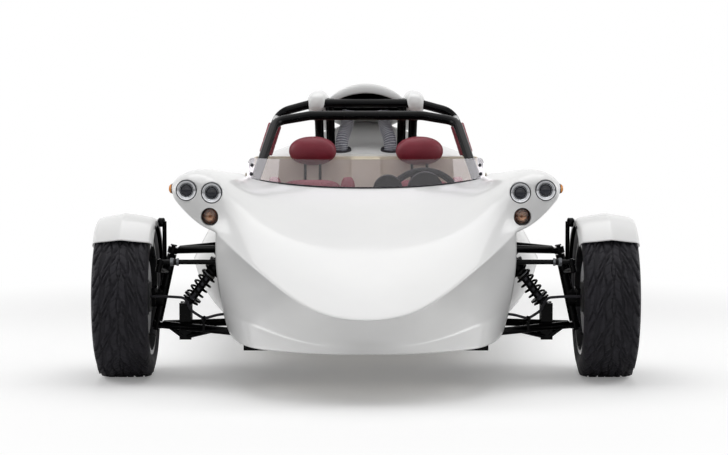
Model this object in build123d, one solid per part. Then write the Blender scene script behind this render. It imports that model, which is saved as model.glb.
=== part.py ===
from build123d import *

import math
import os

# Open two-seat three-wheeler: two steered wheels in front, one driven wheel behind.
# Millimetres. +Z up, nose towards -Y, origin on the floor under the middle of the car.
# A name that ends in _X, _Y or _Z is a place on that axis, _R a radius, _T a wall, _W a width.

# ---- driving dimensions ---------------------------------------------------------
LENGTH = 3500
WHEELBASE = 2286
NOSE_OVERHANG = 800
FRONT_AXLE_Y = -LENGTH / 2 + NOSE_OVERHANG
REAR_AXLE_Y = FRONT_AXLE_Y + WHEELBASE
TAIL_Y = LENGTH / 2
RUNNING_GAP = 0.08
SEAT_GAP = 0.3

# ---- wheels and brakes ----------------------------------------------------------
FRONT_TYRE_R = 296
FRONT_TYRE_W = 205
FRONT_TRACK_X = 887
FRONT_RIM_R = 203
REAR_TYRE_R = 332
REAR_TYRE_W = 295
REAR_RIM_R = 229
TYRE_WALL = 12
TYRE_SHOULDER = 16
RIM_WALL = 7
HUB_PLATE_R = 72
HUB_PLATE_T = 24
SPOKES = 5
HUB_R = 34
STUB_R = 14
HUB_FACE_X = 880
REAR_HUB_X = 120
REAR_HUB_T = 28
REAR_AXLE_R = 14
DISC_X = 818
DISC_R = 138
DISC_T = 20
REAR_DISC_X = -168
REAR_DISC_R = 118
CALIPER_X = (785, 851)
CALIPER_AHEAD = (168, 84)

# ---- front suspension and steering ----------------------------------------------
KINGPIN_TOP = (715, FRONT_AXLE_Y, 472)
KINGPIN_FOOT = (775, FRONT_AXLE_Y, 196)
KINGPIN_L = math.dist(KINGPIN_FOOT, KINGPIN_TOP)
ARM_TUBE_R = 14
# x, spread to each side of the axle, z of an arm's two inner bushes
UPPER_ARM_INNER = (492, 110, 486)
LOWER_ARM_INNER = (462, 165, 186)
PIN_R = 8
EYE_R = 19
EYE_H = 24
BUSH_R = 17
BUSH_L = 40
TRUSS_R = 8
TRUSS_DROP = 32
STEER_PIN_R = 6
ROD_END_R = 15
ROD_END_H = 16
TIE_ROD_Y = FRONT_AXLE_Y - 118
TIE_ROD_OUTER_X = 752
TIE_ROD_INNER_X = 447
TIE_ROD_Z = 438
TIE_ROD_R = 9
SHOCK_FOOT = (668, FRONT_AXLE_Y, 262)
SHOCK_HEAD = (520, FRONT_AXLE_Y, 462)
SPRING_R = 29
SPRING_WIRE_R = 4.5
SPRING_TURNS = 6
HOSE_R = 5
HOSE_BEND = 18
HOSE_CLIP = (592, FRONT_AXLE_Y - 135, 232)
HOSE_ROUTE = [
    (442, -1110, 254),
    (535, -1106, 250),
    HOSE_CLIP,
    (640, -1080, 262),
    (660, -1077, 308),
    (720, -1076, 312),
    (785, -1076, 312),
]

# ---- front mudguards ------------------------------------------------------------
FENDER_R = FRONT_TYRE_R + 26
FENDER_X = FRONT_TRACK_X - 12
FENDER_W = 232
FENDER_T = 5
FENDER_FRONT_DEG = 44
FENDER_REAR_DEG = -8
STAY_R = 8

# ---- bodywork -------------------------------------------------------------------
SHELL_T = 6
ARCH_FRONT_Y = -1140
ARCH_REAR_Y = -690
ARCH_TOP_Z = 548
ARCH_BACK_Z = 640
NOSE_END_Y = -470
BODY_SPLIT_Y = 430
BODY_END_Y = 1150
# y, bottom corner (x, z), crease (x, z), crown z, bulge of the flank
NOSE_SECTIONS = [
    (-1748.4, 34, 296, 64, 310, 320, 1),
    (-1706, 215, 200, 262, 322, 350, -6),
    (-1600, 338, 184, 376, 386, 404, -4),
    (-1400, 428, 166, 470, 478, 482, 10),
    (-1150, 462, 150, 560, 562, 556, 22),
    (-850, 468, 146, 552, 636, 626, 24),
    (-430, 470, 140, 500, 716, 706, 24),
]
# y, bottom (x, z), widest (x, z), shoulder (x, z), crown z, bulges of the two flank arcs
MAIN_SECTIONS = [
    (-690, 470, 138, 566, 380, 508, 668, 676, 26, 10),
    (-560, 480, 134, 650, 388, 496, 704, 710, 34, 8),
    (-200, 486, 130, 684, 396, 496, 712, 716, 40, 4),
    (200, 486, 130, 690, 404, 494, 724, 736, 40, 4),
    (430, 470, 134, 676, 420, 478, 742, 772, 40, 8),
    (800, 380, 190, 560, 460, 330, 800, 868, 34, 16),
    (1150, 250, 330, 410, 540, 190, 800, 846, 26, 16),
]
# y, half width, floor z, top z
TAIL_SECTIONS = [
    (1090, 216, 724, 850),
    (1330, 172, 716, 826),
    (1560, 140, 700, 806),
    (1720, 104, 690, 782),
]
PLATE_W = 178
PLATE_H = 121
PLATE_Z = 600
PLATE_MARGIN = 18
PLATE_HOLE_R = 3.5

# ---- lamps ----------------------------------------------------------------------
POD_CENTRE = (622, 672)
POD_AXES = (128, 98)
POD_TILT_DEG = 56
# y, scale of the ellipse, centre shift x, centre shift z
POD_SECTIONS = [
    (-1082, 0.66, -4, 2),
    (-1062, 0.86, -2, 1),
    (-1015, 0.97, 0, 0),
    (-930, 1.0, 0, 0),
    (-700, 0.86, -38, 8),
    (-430, 0.42, -112, 30),
]
# x, z, bezel radius: two projector lamps and one driving lamp in each pod
LAMPS = [(653, 701, 38), (561, 692, 38)]
FOG_LAMP = (567, 606, 32)
LAMP_FACE_Y = -1088
LAMP_DEPTH = 70
BOWL_DEPTH = 30
BEZEL_T = 6
LENS_DOME_R = 48
MARKER = (728, -960, 690)
MARKER_R = 17
TAIL_LAMP = (330, 700)
TAIL_LAMP_R = 44

# ---- cockpit --------------------------------------------------------------------
TUB_X = 478
TUB_WALL = 8
TUB_FLOOR_Z = 150
TUB_REAR_Y = 424
TUB_TOP_Z = 762
FOOTWELL_X = 372
FOOTWELL_FRONT_Y = -1290
FOOTWELL_ROOF_Z = 500
# y, z and radius of the drums that lower the cockpit's sides and its lining
SILL_DIP = (-40, 1310, 700)
LINING_DIP = (-40, 1330, 700)
TUNNEL_X = 36
TUNNEL_TOP_Z = 300
SPINE_X = 62
SEAT_X = 232
SEAT_W = 372
SEAT_BACK_Z = 690
SEAT_SIDE_W = 48
HEADREST_X = 230
HEADREST_Y = 384
HEADREST_Z = 787
HEADREST_AXES = (100, 60)
HEADREST_T = 64
POST_X = 32
POST_R = 6
DASH_X = TUB_X - TUB_WALL
DASH_Y = (-520, -440)
DASH_Z = (590, 668)
# x, radius of the two instrument humps
DASH_HUMPS = [(SEAT_X, 70), (86, 58)]
WHEEL_R = 145
WHEEL_RIM_R = 13
COLUMN_R = 10
WHEEL_CENTRE = (SEAT_X, -250, 600)
WHEEL_RAKE_DEG = 68
PEDAL_BAR = (-1040, 470)
PEDAL_PAD = (-982, 285)
PEDAL_DX = (-78, 0, 70)
LEVER_Y = -150

# ---- windscreen -----------------------------------------------------------------
SCREEN_ARC_R = 694
SCREEN_FRONT_Y = -620
SCREEN_TOP_Z = 777
SCREEN_FOOT_Z = 678
SCREEN_T = 5
SCREEN_LEAN = 44
SCREEN_HALF_W = 456
SCREEN_END_Y = -340
COWL_REACH = 14

# ---- roll cage ------------------------------------------------------------------
CAGE_R = 19
CAGE_BEND = 90
FRONT_HOOP_BEND = 70
HOOP_Y = 462
# x, z of one leg of the main hoop, from its foot to the top bar
HOOP_LEG = [(446, 300), (446, 740), (378, 950), (230, 990)]
# x, y, z of one side of the front hoop, from its foot on the cowl to the top bar
FRONT_HOOP_LEG = [(440, -420, 690), (372, -40, 925), (230, 0, 948)]
SIDE_BAR = ((362, -26, 922), (386, HOOP_Y, 922))
PAD_R = 30
PAD_SPAN = (0.15, 0.76)

# ---- air scoop, ducts and hoop fairings -----------------------------------------
SCOOP_FRONT_Y = 505
SCOOP_REAR_Y = 1030
SCOOP_FLOOR_Z = 948
SCOOP_TOP_Z = 1076
SCOOP_HALF_W = 192
SCOOP_T = 7
SCOOP_LIP = 42
SCOOP_LIP_DEPTH = 24
# y, half width, floor z, top z
SCOOP_SECTIONS = [
    (SCOOP_FRONT_Y, SCOOP_HALF_W, SCOOP_FLOOR_Z, SCOOP_TOP_Z),
    (700, 182, 938, 1066),
    (900, 150, 905, 1010),
    (SCOOP_REAR_Y, 105, 868, 940),
]
DUCT_X = 106
DUCT_R = 29
DUCT_BEND = 60
DUCT_FOOT_Y = 500
DUCT_TOP_Y = 565
# y, inner x, outer x, foot z, cap z
FAIRING_SECTIONS = [
    (440, 138, 262, 985, 1034),
    (560, 140, 258, 880, 1050),
    (760, 146, 244, 850, 1010),
    (1000, 138, 196, 838, 900),
]
FAIRING_T = 5

# ---- rear suspension and driveline ----------------------------------------------
SWINGARM_PIVOT = (0, 838, 330)
SWINGARM_X = 208
SWINGARM_HALF_W = 15
SHOCK_BEAM_Y = (905, 955)
REAR_SHOCK_FOOT = (0, 935, SWINGARM_PIVOT[2] + 76)
REAR_SHOCK_HEAD = (0, 800, 618)
REAR_SPRING_R = 31
REAR_SPRING_WIRE_R = 5.5
# y, z of the gearbox output shaft
OUTPUT_SHAFT = (770, 330)
OUTPUT_SHAFT_R = 16
CHAIN_X = 168
CHAIN_GAP = 6
CHAIN_T = 12
SPROCKET_R = 104
SPROCKET_T = 8
SPROCKET_HOLES = 5
DRIVE_SPROCKET_R = 36
CASE_X = (-240, 120)
CASE_Y = (500, 700)
# x, z and radius of the silencers, and their two ends
SILENCER = (345, 250, 60)
SILENCER_Y = (760, 1140)
SILENCER_PIPE_R = 32
HEADER_R = 20

# ---- frame ----------------------------------------------------------------------
RAIL = 30
FRAME_R = 16
BRACE_R = 14
FRONT_UPRIGHT_Y = (-1110, -800)
UPRIGHT_INSET = 3.5
FRONT_RAIL_Y = (-1126, -784)
SHOCK_PLATE_X = 491
RAIL_X = (300, 430)
FLOOR_CROSS_Y = (-1110, -800)
FLOOR_REAR_Y = (428, 456)
JACK_X = 350
JACK_Y = (160, -660)
JACK_DROP = 5
TOW_EYE_Y = -1143
TOW_EYE_W = 24
TOW_EYE_R = 12.5
ENGINE_TUBE_X = 262
ENGINE_BEND = 60
LOW_CROSS_Z = 184
HIGH_CROSS_Y = 800
HIGH_CROSS_Z = 660
PIVOT_TUBE_X = 250
PIVOT_R = 12


# ---- small tools ----------------------------------------------------------------
def block(x0, x1, y0, y1, z0, z1):
    """A box between two corners."""
    return Pos((x0 + x1) / 2, (y0 + y1) / 2, (z0 + z1) / 2) * Box(x1 - x0, y1 - y0, z1 - z0)


def rod(start, end, radius):
    """A round bar from start to end."""
    line = Line(start, end)
    return sweep(Plane(origin=start, z_dir=line % 0) * Circle(radius), path=line)


def bent_tube(points, bend, radius):
    """A round tube along straight runs joined by arcs of radius bend."""
    path = FilletPolyline(*points, radius=bend)
    return sweep(Plane(origin=path @ 0, z_dir=path % 0) * Circle(radius), path=path)


def turned(profile, centre):
    """An outline of (along X, radius) points, turned about the X axis through centre."""
    outline = Polyline(*[(x, 0, r) for x, r in profile], close=True)
    return Pos(*centre) * revolve(make_face(outline), Axis.X, 360)


def mirror_x(shape):
    """The same shape on the other side of the car."""
    return mirror(shape, Plane.YZ)


def both_sides(shape):
    """The shape and its mirror image."""
    return shape + mirror_x(shape)


def across(points):
    """A route on the left of the car carried over to its mirror image on the right."""
    return [(-x, y, z) for x, y, z in points] + points[::-1]


def arc(start, end, bulge):
    """An arc in an XZ plane that stands bulge proud of its chord, to the chord's right."""
    dx, dz = end[0] - start[0], end[2] - start[2]
    length = math.hypot(dx, dz)
    middle = (
        (start[0] + end[0]) / 2 + dz / length * bulge,
        start[1],
        (start[2] + end[2]) / 2 - dx / length * bulge,
    )
    return ThreePointArc(start, middle, end)


def body_section(y, points, bulges, crown_z, inset):
    """A closed face across the car: half outline from the bottom corner up, mirrored, with a crown arc."""
    low, high = points[0][1], points[-1][1]
    right = []
    for x, z in points:
        lift = inset * (1 - 2 * (z - low) / (high - low))
        right.append((x - inset, y, z + lift))
    edges = [Line((-right[0][0], y, right[0][2]), right[0])]
    for a, b, bulge in zip(right, right[1:], bulges):
        edges.append(arc(a, b, bulge))
    top, crown = right[-1], (0, y, crown_z - inset)
    edges.append(ThreePointArc(top, crown, (-top[0], y, top[2])))
    left = [(-x, yy, z) for x, yy, z in right]
    for a, b, bulge in reversed(list(zip(left, left[1:], bulges))):
        edges.append(arc(b, a, bulge))
    return make_face(edges)


# ---- bodywork -------------------------------------------------------------------


def nose_loft(inset):
    """The whole front body as a solid, inset from its outer skin."""
    faces = []
    for y, bx, bz, wx, wz, crown, bulge in NOSE_SECTIONS:
        y_in = y + inset * 3 if y == NOSE_SECTIONS[0][0] else y
        cut = min(inset, 5)
        faces.append(body_section(y_in, [(bx, bz), (wx, wz)], [bulge], crown, cut))
    return loft(faces)


def main_loft(inset):
    """The middle and rear body as a solid, inset from its outer skin."""
    faces = []
    for y, bx, bz, wx, wz, sx, sz, crown, low_bulge, high_bulge in MAIN_SECTIONS:
        points = [(bx, bz), (wx, wz), (sx, sz)]
        faces.append(body_section(y, points, [low_bulge, high_bulge], crown, inset))
    return loft(faces)


def lamp_pod():
    """The right headlamp pod: an egg that fades into the flank."""
    faces = []
    for y, scale, dx, dz in POD_SECTIONS:
        centre = Plane(origin=(POD_CENTRE[0] + dx, y, POD_CENTRE[1] + dz), x_dir=(1, 0, 0), z_dir=(0, -1, 0))
        faces.append(centre * Rot(0, 0, POD_TILT_DEG) * Ellipse(POD_AXES[0] * scale, POD_AXES[1] * scale))
    return loft(faces)


def along_y(x, z, y0, y1, radius):
    """A cylinder along Y."""
    return Pos(x, (y0 + y1) / 2, z) * Rot(90, 0, 0) * Cylinder(radius, abs(y1 - y0))


def screen_drum(radius, z0, z1):
    """The upright drum whose front is the windscreen's arc."""
    centre_y = SCREEN_FRONT_Y + SCREEN_ARC_R
    return Pos(0, centre_y, (z0 + z1) / 2) * Cylinder(radius, z1 - z0)


def nose_body():
    """Front fibreglass shell with its lamp pods, open behind and at the suspension."""
    skin = nose_loft(0)
    shell = skin - nose_loft(SHELL_T) - block(-452, 452, -1500, -400, 100, 180)
    pods = both_sides(lamp_pod()) - nose_loft(0)
    body = shell + pods
    body -= both_sides(block(300, 800, ARCH_FRONT_Y, ARCH_REAR_Y, 100, ARCH_TOP_Z))
    body -= block(-900, 900, ARCH_REAR_Y, 0, 100, ARCH_BACK_Z)
    body -= screen_drum(SCREEN_ARC_R - COWL_REACH, 400, 900) & block(-505, 505, -700, 0, 400, 900)
    body -= block(-900, 900, NOSE_END_Y, 0, 100, 900)
    for x, z, r in LAMPS + [FOG_LAMP]:
        body -= both_sides(along_y(x, z, LAMP_FACE_Y - 60, LAMP_FACE_Y + LAMP_DEPTH, r + SEAT_GAP))
    return body


def long_drum(dip):
    """A drum right across the car, given as the y, z and radius of its axis."""
    y, z, radius = dip
    return Pos(0, y, z) * Rot(0, 90, 0) * Cylinder(radius, 1500)


def cockpit_cut():
    """The open cockpit between the windscreen and the rear deck, with lowered sills at each side."""
    well = block(-TUB_X, TUB_X, SCREEN_FRONT_Y - 40, TUB_REAR_Y, TUB_FLOOR_Z - 40, 900)
    return well + long_drum(SILL_DIP)


def side_bodies():
    """The thick outer walls of the cockpit, left and right."""
    body = main_loft(0)
    body -= cockpit_cut()
    body -= block(-900, 900, BODY_SPLIT_Y, 1300, 0, 1000)
    body -= screen_drum(SCREEN_ARC_R + 300, 0, 900) & block(-478, 478, -900, 500, 0, 900)
    sides = body & (block(TUB_X, 800, ARCH_REAR_Y - 5, BODY_SPLIT_Y, 100, 900))
    sides -= block(0, 800, -800, NOSE_END_Y, ARCH_BACK_Z, 900) & nose_loft(-1)
    return both_sides(sides)


def cockpit_tub():
    """Cockpit lining: floor, walls, rear bulkhead, centre tunnel and the footwell ahead of it."""
    wall_x, floor_z = TUB_X - TUB_WALL, TUB_FLOOR_Z + TUB_WALL
    outer = block(-TUB_X + 1, TUB_X - 1, ARCH_REAR_Y, TUB_REAR_Y, TUB_FLOOR_Z, TUB_TOP_Z)
    inner = block(-wall_x, wall_x, ARCH_REAR_Y + TUB_WALL, TUB_REAR_Y - TUB_WALL, floor_z, 900)
    foot_out = block(-FOOTWELL_X, FOOTWELL_X, FOOTWELL_FRONT_Y, ARCH_REAR_Y, TUB_FLOOR_Z, FOOTWELL_ROOF_Z)
    foot_in = block(
        -FOOTWELL_X + TUB_WALL,
        FOOTWELL_X - TUB_WALL,
        FOOTWELL_FRONT_Y + TUB_WALL,
        ARCH_REAR_Y + 2 * TUB_WALL,
        floor_z,
        FOOTWELL_ROOF_Z - TUB_WALL,
    )
    tunnel = block(-TUNNEL_X, TUNNEL_X, ARCH_REAR_Y + 60, TUB_REAR_Y - 4, TUB_FLOOR_Z + 4, TUNNEL_TOP_Z)
    spine = block(-SPINE_X, SPINE_X, TUB_REAR_Y - 60, TUB_REAR_Y - 4, TUB_FLOOR_Z + 4, TUB_TOP_Z - 10)
    tub = (outer + foot_out) - inner - foot_in + tunnel + spine
    tub -= block(-900, 900, -800, -400, 590, 900)
    tub -= long_drum(LINING_DIP) & block(-900, 900, -900, 300, 500, 900)
    tub -= block(-900, 900, FOOTWELL_FRONT_Y - 10, -1120, 380, 600)
    return tub


def rear_body():
    """White engine cover behind the seats: an open-ended shell with holes for the ducts and the roll hoop."""
    shell = main_loft(0) - main_loft(SHELL_T)
    shell &= block(-900, 900, BODY_SPLIT_Y, BODY_END_Y + 10, 100, 950)
    shell -= block(-900, 900, BODY_SPLIT_Y - 5, BODY_END_Y + 20, 0, 250)
    shell -= block(-320, 320, 900, BODY_END_Y + 20, 0, 620)
    rise = Polyline([(0, 620, 240), (0, BODY_END_Y + 20, 450), (0, BODY_END_Y + 20, 240)], close=True)
    shell -= extrude(make_face(rise), 900, dir=(1, 0, 0), both=True)
    lip = main_loft(0) & block(-TUB_X + 1, TUB_X - 1, TUB_REAR_Y + SEAT_GAP, BODY_SPLIT_Y + 10, 500, 950)
    body = shell + (lip - block(-420, 420, 400, BODY_SPLIT_Y + 40, 450, 730))
    for x in (-DUCT_X, DUCT_X):
        body -= Pos(x, DUCT_FOOT_Y, 780) * Cylinder(DUCT_R + 9, 200)
    body -= both_sides(Pos(HOOP_LEG[0][0] - 4, HOOP_Y, 760) * Cylinder(CAGE_R + 8, 260))
    return body


# ---- roll cage ------------------------------------------------------------------


def roll_cage():
    """Main hoop behind the seats, sloping front hoop over the dash and two side bars."""
    hoop = across([(x, HOOP_Y, z) for x, z in HOOP_LEG])
    cage = bent_tube(hoop, CAGE_BEND, CAGE_R) + bent_tube(across(FRONT_HOOP_LEG), FRONT_HOOP_BEND, CAGE_R)
    return cage + both_sides(rod(*SIDE_BAR, CAGE_R))


# ---- upper rear bodywork ----------------------------------------------------------


def arch_face(y, half_w, floor_z, top_z, inset):
    """A D-shaped face across the car: flat floor and an arch over it."""
    x, z0, z1 = half_w - inset, floor_z + inset, top_z - inset
    shoulder = z0 + (z1 - z0) * 0.22
    edges = [
        Line((-x, y, z0), (x, y, z0)),
        Line((x, y, z0), (x * 0.995, y, shoulder)),
        ThreePointArc((x * 0.995, y, shoulder), (0, y, z1), (-x * 0.995, y, shoulder)),
        Line((-x * 0.995, y, shoulder), (-x, y, z0)),
    ]
    return make_face(edges)


def air_scoop():
    """Arched intake over the engine cover, with a thick rolled lip round its open mouth."""
    outer = loft([arch_face(y, w, z0, z1, 0) for y, w, z0, z1 in SCOOP_SECTIONS])
    first = SCOOP_SECTIONS[0]
    hollow = [(SCOOP_FRONT_Y + SCOOP_LIP_DEPTH,) + first[1:]] + SCOOP_SECTIONS[1:3]
    inner = loft([arch_face(y, w, z0, z1, SCOOP_T) for y, w, z0, z1 in hollow])
    sill = first[2] + SCOOP_T - SCOOP_LIP
    mouth = extrude(arch_face(first[0], first[1], sill, first[3], SCOOP_LIP), 60, both=True)
    for side in (-1, 1):
        inner += bent_tube(duct_path(side), DUCT_BEND, DUCT_R + SEAT_GAP)
    foot = block(-70, 70, 880, 1000, 700, 930) - main_loft(0)
    return outer + foot - inner - mouth - main_loft(-SEAT_GAP)


def duct_path(side):
    """The centre line of an intake duct, from the engine cover up into the scoop's floor."""
    return [
        (side * DUCT_X, DUCT_FOOT_Y, 775),
        (side * DUCT_X, DUCT_FOOT_Y + 4, 830),
        (side * DUCT_X * 0.76, DUCT_TOP_Y - 4, 900),
        (side * DUCT_X * 0.72, DUCT_TOP_Y, SCOOP_FLOOR_Z + 12),
    ]


def intake_ducts():
    """Two ribbed ducts between the engine cover and the scoop."""
    return both_sides(bent_tube(duct_path(1), DUCT_BEND, DUCT_R))


def fairing_face(y, x0, x1, z0, z1, inset):
    """A rounded upright face across one hoop fairing."""
    x0, x1, z0, z1 = x0 + inset, x1 - inset, z0 + inset, z1 - inset
    edges = [
        Line((x0, y, z0), (x1, y, z0)),
        Line((x1, y, z0), (x1, y, z1 - 18)),
        ThreePointArc((x1, y, z1 - 18), ((x0 + x1) / 2 + 18, y, z1 - 3), (x0, y, z1)),
        Line((x0, y, z1), (x0, y, z0)),
    ]
    return make_face(edges)


def hoop_fairings():
    """Two fins behind the main hoop, open in front, that seat on the engine cover."""
    outer = loft([fairing_face(*row, 0) for row in FAIRING_SECTIONS])
    inner = loft([fairing_face(*row, FAIRING_T) for row in FAIRING_SECTIONS[:3]])
    fin = outer - inner - block(100, 300, 400, 450, 985 + FAIRING_T, 1034 - 3 * FAIRING_T)
    fin += block(146, 250, 570, 600, 800, 900) - inner
    fin -= main_loft(-SEAT_GAP)
    fin -= loft([arch_face(y, w, z0, z1, -SEAT_GAP) for y, w, z0, z1 in SCOOP_SECTIONS])
    leg = [(x, HOOP_Y, z) for x, z in HOOP_LEG[:0:-1]]
    fin -= bent_tube([(0, HOOP_Y, HOOP_LEG[-1][1])] + leg, CAGE_BEND, CAGE_R + SEAT_GAP)
    return both_sides(fin)


def tail_body():
    """Tail over the rear wheel, with the mudguard blade and number plate bracket behind it."""
    outer = loft([arch_face(y, w, z0, z1, 0) for y, w, z0, z1 in TAIL_SECTIONS])
    inner = loft([arch_face(y, w, z0, z1, SHELL_T) for y, w, z0, z1 in TAIL_SECTIONS[:3]])
    return outer - inner - main_loft(-SEAT_GAP)


def plate_bracket():
    """Number plate bracket hung from the tail, with four plate holes and a lamp lip over it."""
    y = TAIL_Y - 8
    half = PLATE_W / 2 + PLATE_MARGIN
    plate = block(-half, half, y - 4, y, PLATE_Z - 80, PLATE_Z + 80)
    for x in (-PLATE_W / 2, PLATE_W / 2):
        for z in (PLATE_Z - PLATE_H / 2, PLATE_Z + PLATE_H / 2):
            plate -= along_y(x, z, y - 20, y + 20, PLATE_HOLE_R)
    arm = both_sides(block(30, 48, 1700, y, 660, 690))
    return plate + arm + block(-60, 60, 1700, TAIL_Y, 676, 690)


def windscreen():
    """Low curved clear screen that stands on the cowl."""
    height = SCREEN_TOP_Z - SCREEN_FOOT_Z
    top_r = SCREEN_ARC_R - SCREEN_LEAN
    band = Cone(SCREEN_ARC_R, top_r, height) - Cone(SCREEN_ARC_R - SCREEN_T, top_r - SCREEN_T, height)
    pane = Pos(0, SCREEN_FRONT_Y + SCREEN_ARC_R, SCREEN_FOOT_Z + height / 2) * band
    pane &= block(-SCREEN_HALF_W, SCREEN_HALF_W, SCREEN_FRONT_Y - 10, SCREEN_END_Y, 600, 900)
    for corner in (-1, 1):
        pane -= Pos(corner * SCREEN_HALF_W, -450, SCREEN_TOP_Z) * Rot(0, 45, 0) * Box(22, 400, 22)
    return pane - nose_loft(0)


# ---- seats, trim and controls ------------------------------------------------------


def seat():
    """One bucket seat: cushion with raised edges and a reclined back, as two padded lumps joined."""
    base = TUB_FLOOR_Z + TUB_WALL + SEAT_GAP
    profile = [(-330, base), (-335, 262), (60, 238), (118, 268)]
    profile += [(250, SEAT_BACK_Z), (330, SEAT_BACK_Z), (180, base)]
    face = make_face(Polyline([(0, y, z) for y, z in profile], close=True))
    lump = Pos(-SEAT_W / 2, 0, 0) * extrude(face, SEAT_W, dir=(1, 0, 0))
    lump = lump if lump.volume > 0 else -lump
    dish = [(-400, 262), (60, 222), (100, 240), (262, 760), (100, 760), (-400, 400)]
    hollow = make_face(Polyline([(0, y, z) for y, z in dish], close=True))
    lump -= Pos(-SEAT_W / 2 + SEAT_SIDE_W, 0, 0) * extrude(hollow, SEAT_W - 2 * SEAT_SIDE_W, dir=(1, 0, 0))
    return Pos(SEAT_X, 0, 0) * lump


def headrest():
    """A padded oval headrest for the left seat."""
    pad = extrude(Ellipse(*HEADREST_AXES), HEADREST_T / 2, both=True)
    pad = Pos(HEADREST_X, HEADREST_Y, HEADREST_Z) * Rot(90, 0, 0) * pad
    return fillet(pad.edges(), 22)


def steering_wheel():
    """Three-spoke flat steering wheel with a boss, on its raked column axis."""
    wheel = Torus(WHEEL_R, WHEEL_RIM_R) + Pos(0, 0, -6) * Cylinder(34, 24)
    for angle in (90, 210, 330):
        wheel += Rot(0, 0, angle) * Pos(WHEEL_R / 2, 0, 0) * Box(WHEEL_R, 26, 6)
    stub = Pos(0, 0, -78) * Cylinder(COLUMN_R, 144)
    return wheel + stub


def column_frame():
    """Placement whose own Z runs up the steering column towards the driver."""
    return Pos(*WHEEL_CENTRE) * Rot(-WHEEL_RAKE_DEG, 0, 0)


def dash():
    """Dash beam with two instrument humps and the steering column's bearing tube."""
    beam = block(-DASH_X, DASH_X, *DASH_Y, *DASH_Z)
    beam = fillet(beam.edges().filter_by(Axis.X), 16)
    front, back = DASH_Y
    (wide_x, wide_r), (small_x, small_r) = DASH_HUMPS
    humps = along_y(wide_x, DASH_Z[1], front, back + 10, wide_r)
    humps += along_y(small_x, DASH_Z[1], front, back + 10, small_r)
    humps -= block(-200, 400, -600, -400, 500, 640)
    tube = column_frame() * Pos(0, 0, -185) * Cylinder(COLUMN_R + 8, 200)
    tube += block(SEAT_X - 14, SEAT_X + 14, front + 20, back, 520, 600)
    bore = column_frame() * Pos(0, 0, -160) * Cylinder(COLUMN_R + RUNNING_GAP, 400)
    return beam + humps + tube - bore


# ---- front suspension ---------------------------------------------------------------


def along(start, end, share):
    """The point a given share of the way from start to end."""
    return tuple(a + (b - a) * share for a, b in zip(start, end))


def kingpin_rod(low, high, radius):
    """A round bar on the steering axis, from low to high measured in mm from the lower joint."""
    ends = [along(KINGPIN_FOOT, KINGPIN_TOP, reach / KINGPIN_L) for reach in (low, high)]
    return rod(*ends, radius)


def wishbone(inner, joint, eye_at):
    """Two tubes from the inner bushes to the eye round the steering pin."""
    x, spread, z = inner
    arm = None
    for side in (-1, 1):
        mount = (x, FRONT_AXLE_Y + side * spread, z)
        bush = along_y(x, z, mount[1] - BUSH_L / 2, mount[1] + BUSH_L / 2, BUSH_R)
        leg = rod(mount, joint, ARM_TUBE_R) + bush
        arm = leg if arm is None else arm + leg
    arm += kingpin_rod(eye_at - EYE_H / 2, eye_at + EYE_H / 2, EYE_R)
    return arm - kingpin_rod(eye_at - EYE_H, eye_at + EYE_H, PIN_R + RUNNING_GAP) - eye_clearance(eye_at)


def eye_clearance(eye_at):
    """The room above and below a steering eye that its tubes keep out of."""
    low = kingpin_rod(eye_at - EYE_H / 2 - 30, eye_at - EYE_H / 2, EYE_R + 9)
    return low + kingpin_rod(eye_at + EYE_H / 2, eye_at + EYE_H / 2 + 30, EYE_R + 9)


def upper_arms():
    """Upper wishbones with their bushes and outer eyes."""
    return both_sides(wishbone(UPPER_ARM_INNER, KINGPIN_TOP, KINGPIN_L))


def lower_arms():
    """Lower wishbones, the truss brace under them and the plates that carry the damper."""
    arm = wishbone(LOWER_ARM_INNER, KINGPIN_FOOT, 0)
    x, y, z = SHOCK_FOOT
    brace_z = LOWER_ARM_INNER[2] - TRUSS_DROP
    for side in (-1, 1):
        inner = (LOWER_ARM_INNER[0] + 90, FRONT_AXLE_Y + side * 117, LOWER_ARM_INNER[2] + 2)
        arm += rod(inner, (x - 10, y + side * 30, brace_z), TRUSS_R)
        arm += rod((x + 10, y + side * 30, brace_z), (x + 62, y + side * 25, 192), TRUSS_R)
        arm += block(x - 22, x + 22, y + side * 30 - 4, y + side * 30 + 4, brace_z - 12, z + 16)
    arm += block(x - 18, x + 18, y - 64, y + 64, 188, 197)
    arm += along_y(x, z, y - 40, y + 40, PIN_R)
    arm += hose_clip()
    return both_sides(arm)


def hose_clip():
    """The tab and ring on the lower arm's front tube that hold the brake line."""
    x, y, z = HOSE_CLIP
    tab = block(x - 4, x + 4, y, FRONT_AXLE_Y - 92, z - 44, z - 34)
    tab += block(x - 4, x + 4, y - 6, y + 6, z - 44, z)
    ring = rod((x - 5, y + 3, z + 1), (x + 5, y - 3, z - 1), HOSE_R + 5)
    return tab + ring - bent_tube(HOSE_ROUTE, HOSE_BEND, HOSE_R + SEAT_GAP)


def coil(foot, head, radius, wire, turns, low, high):
    """A coil spring round the line from foot to head, between two shares of its length."""
    start, end = along(foot, head, low), along(foot, head, high)
    axis = Plane(origin=start, z_dir=tuple(b - a for a, b in zip(start, end)))
    reach = math.dist(start, end)
    path = Helix(reach / turns, reach, radius)
    profile = Plane(origin=path @ 0, z_dir=path % 0) * RegularPolygon(wire, 6)
    return axis * sweep(profile, path, is_frenet=True)


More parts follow.
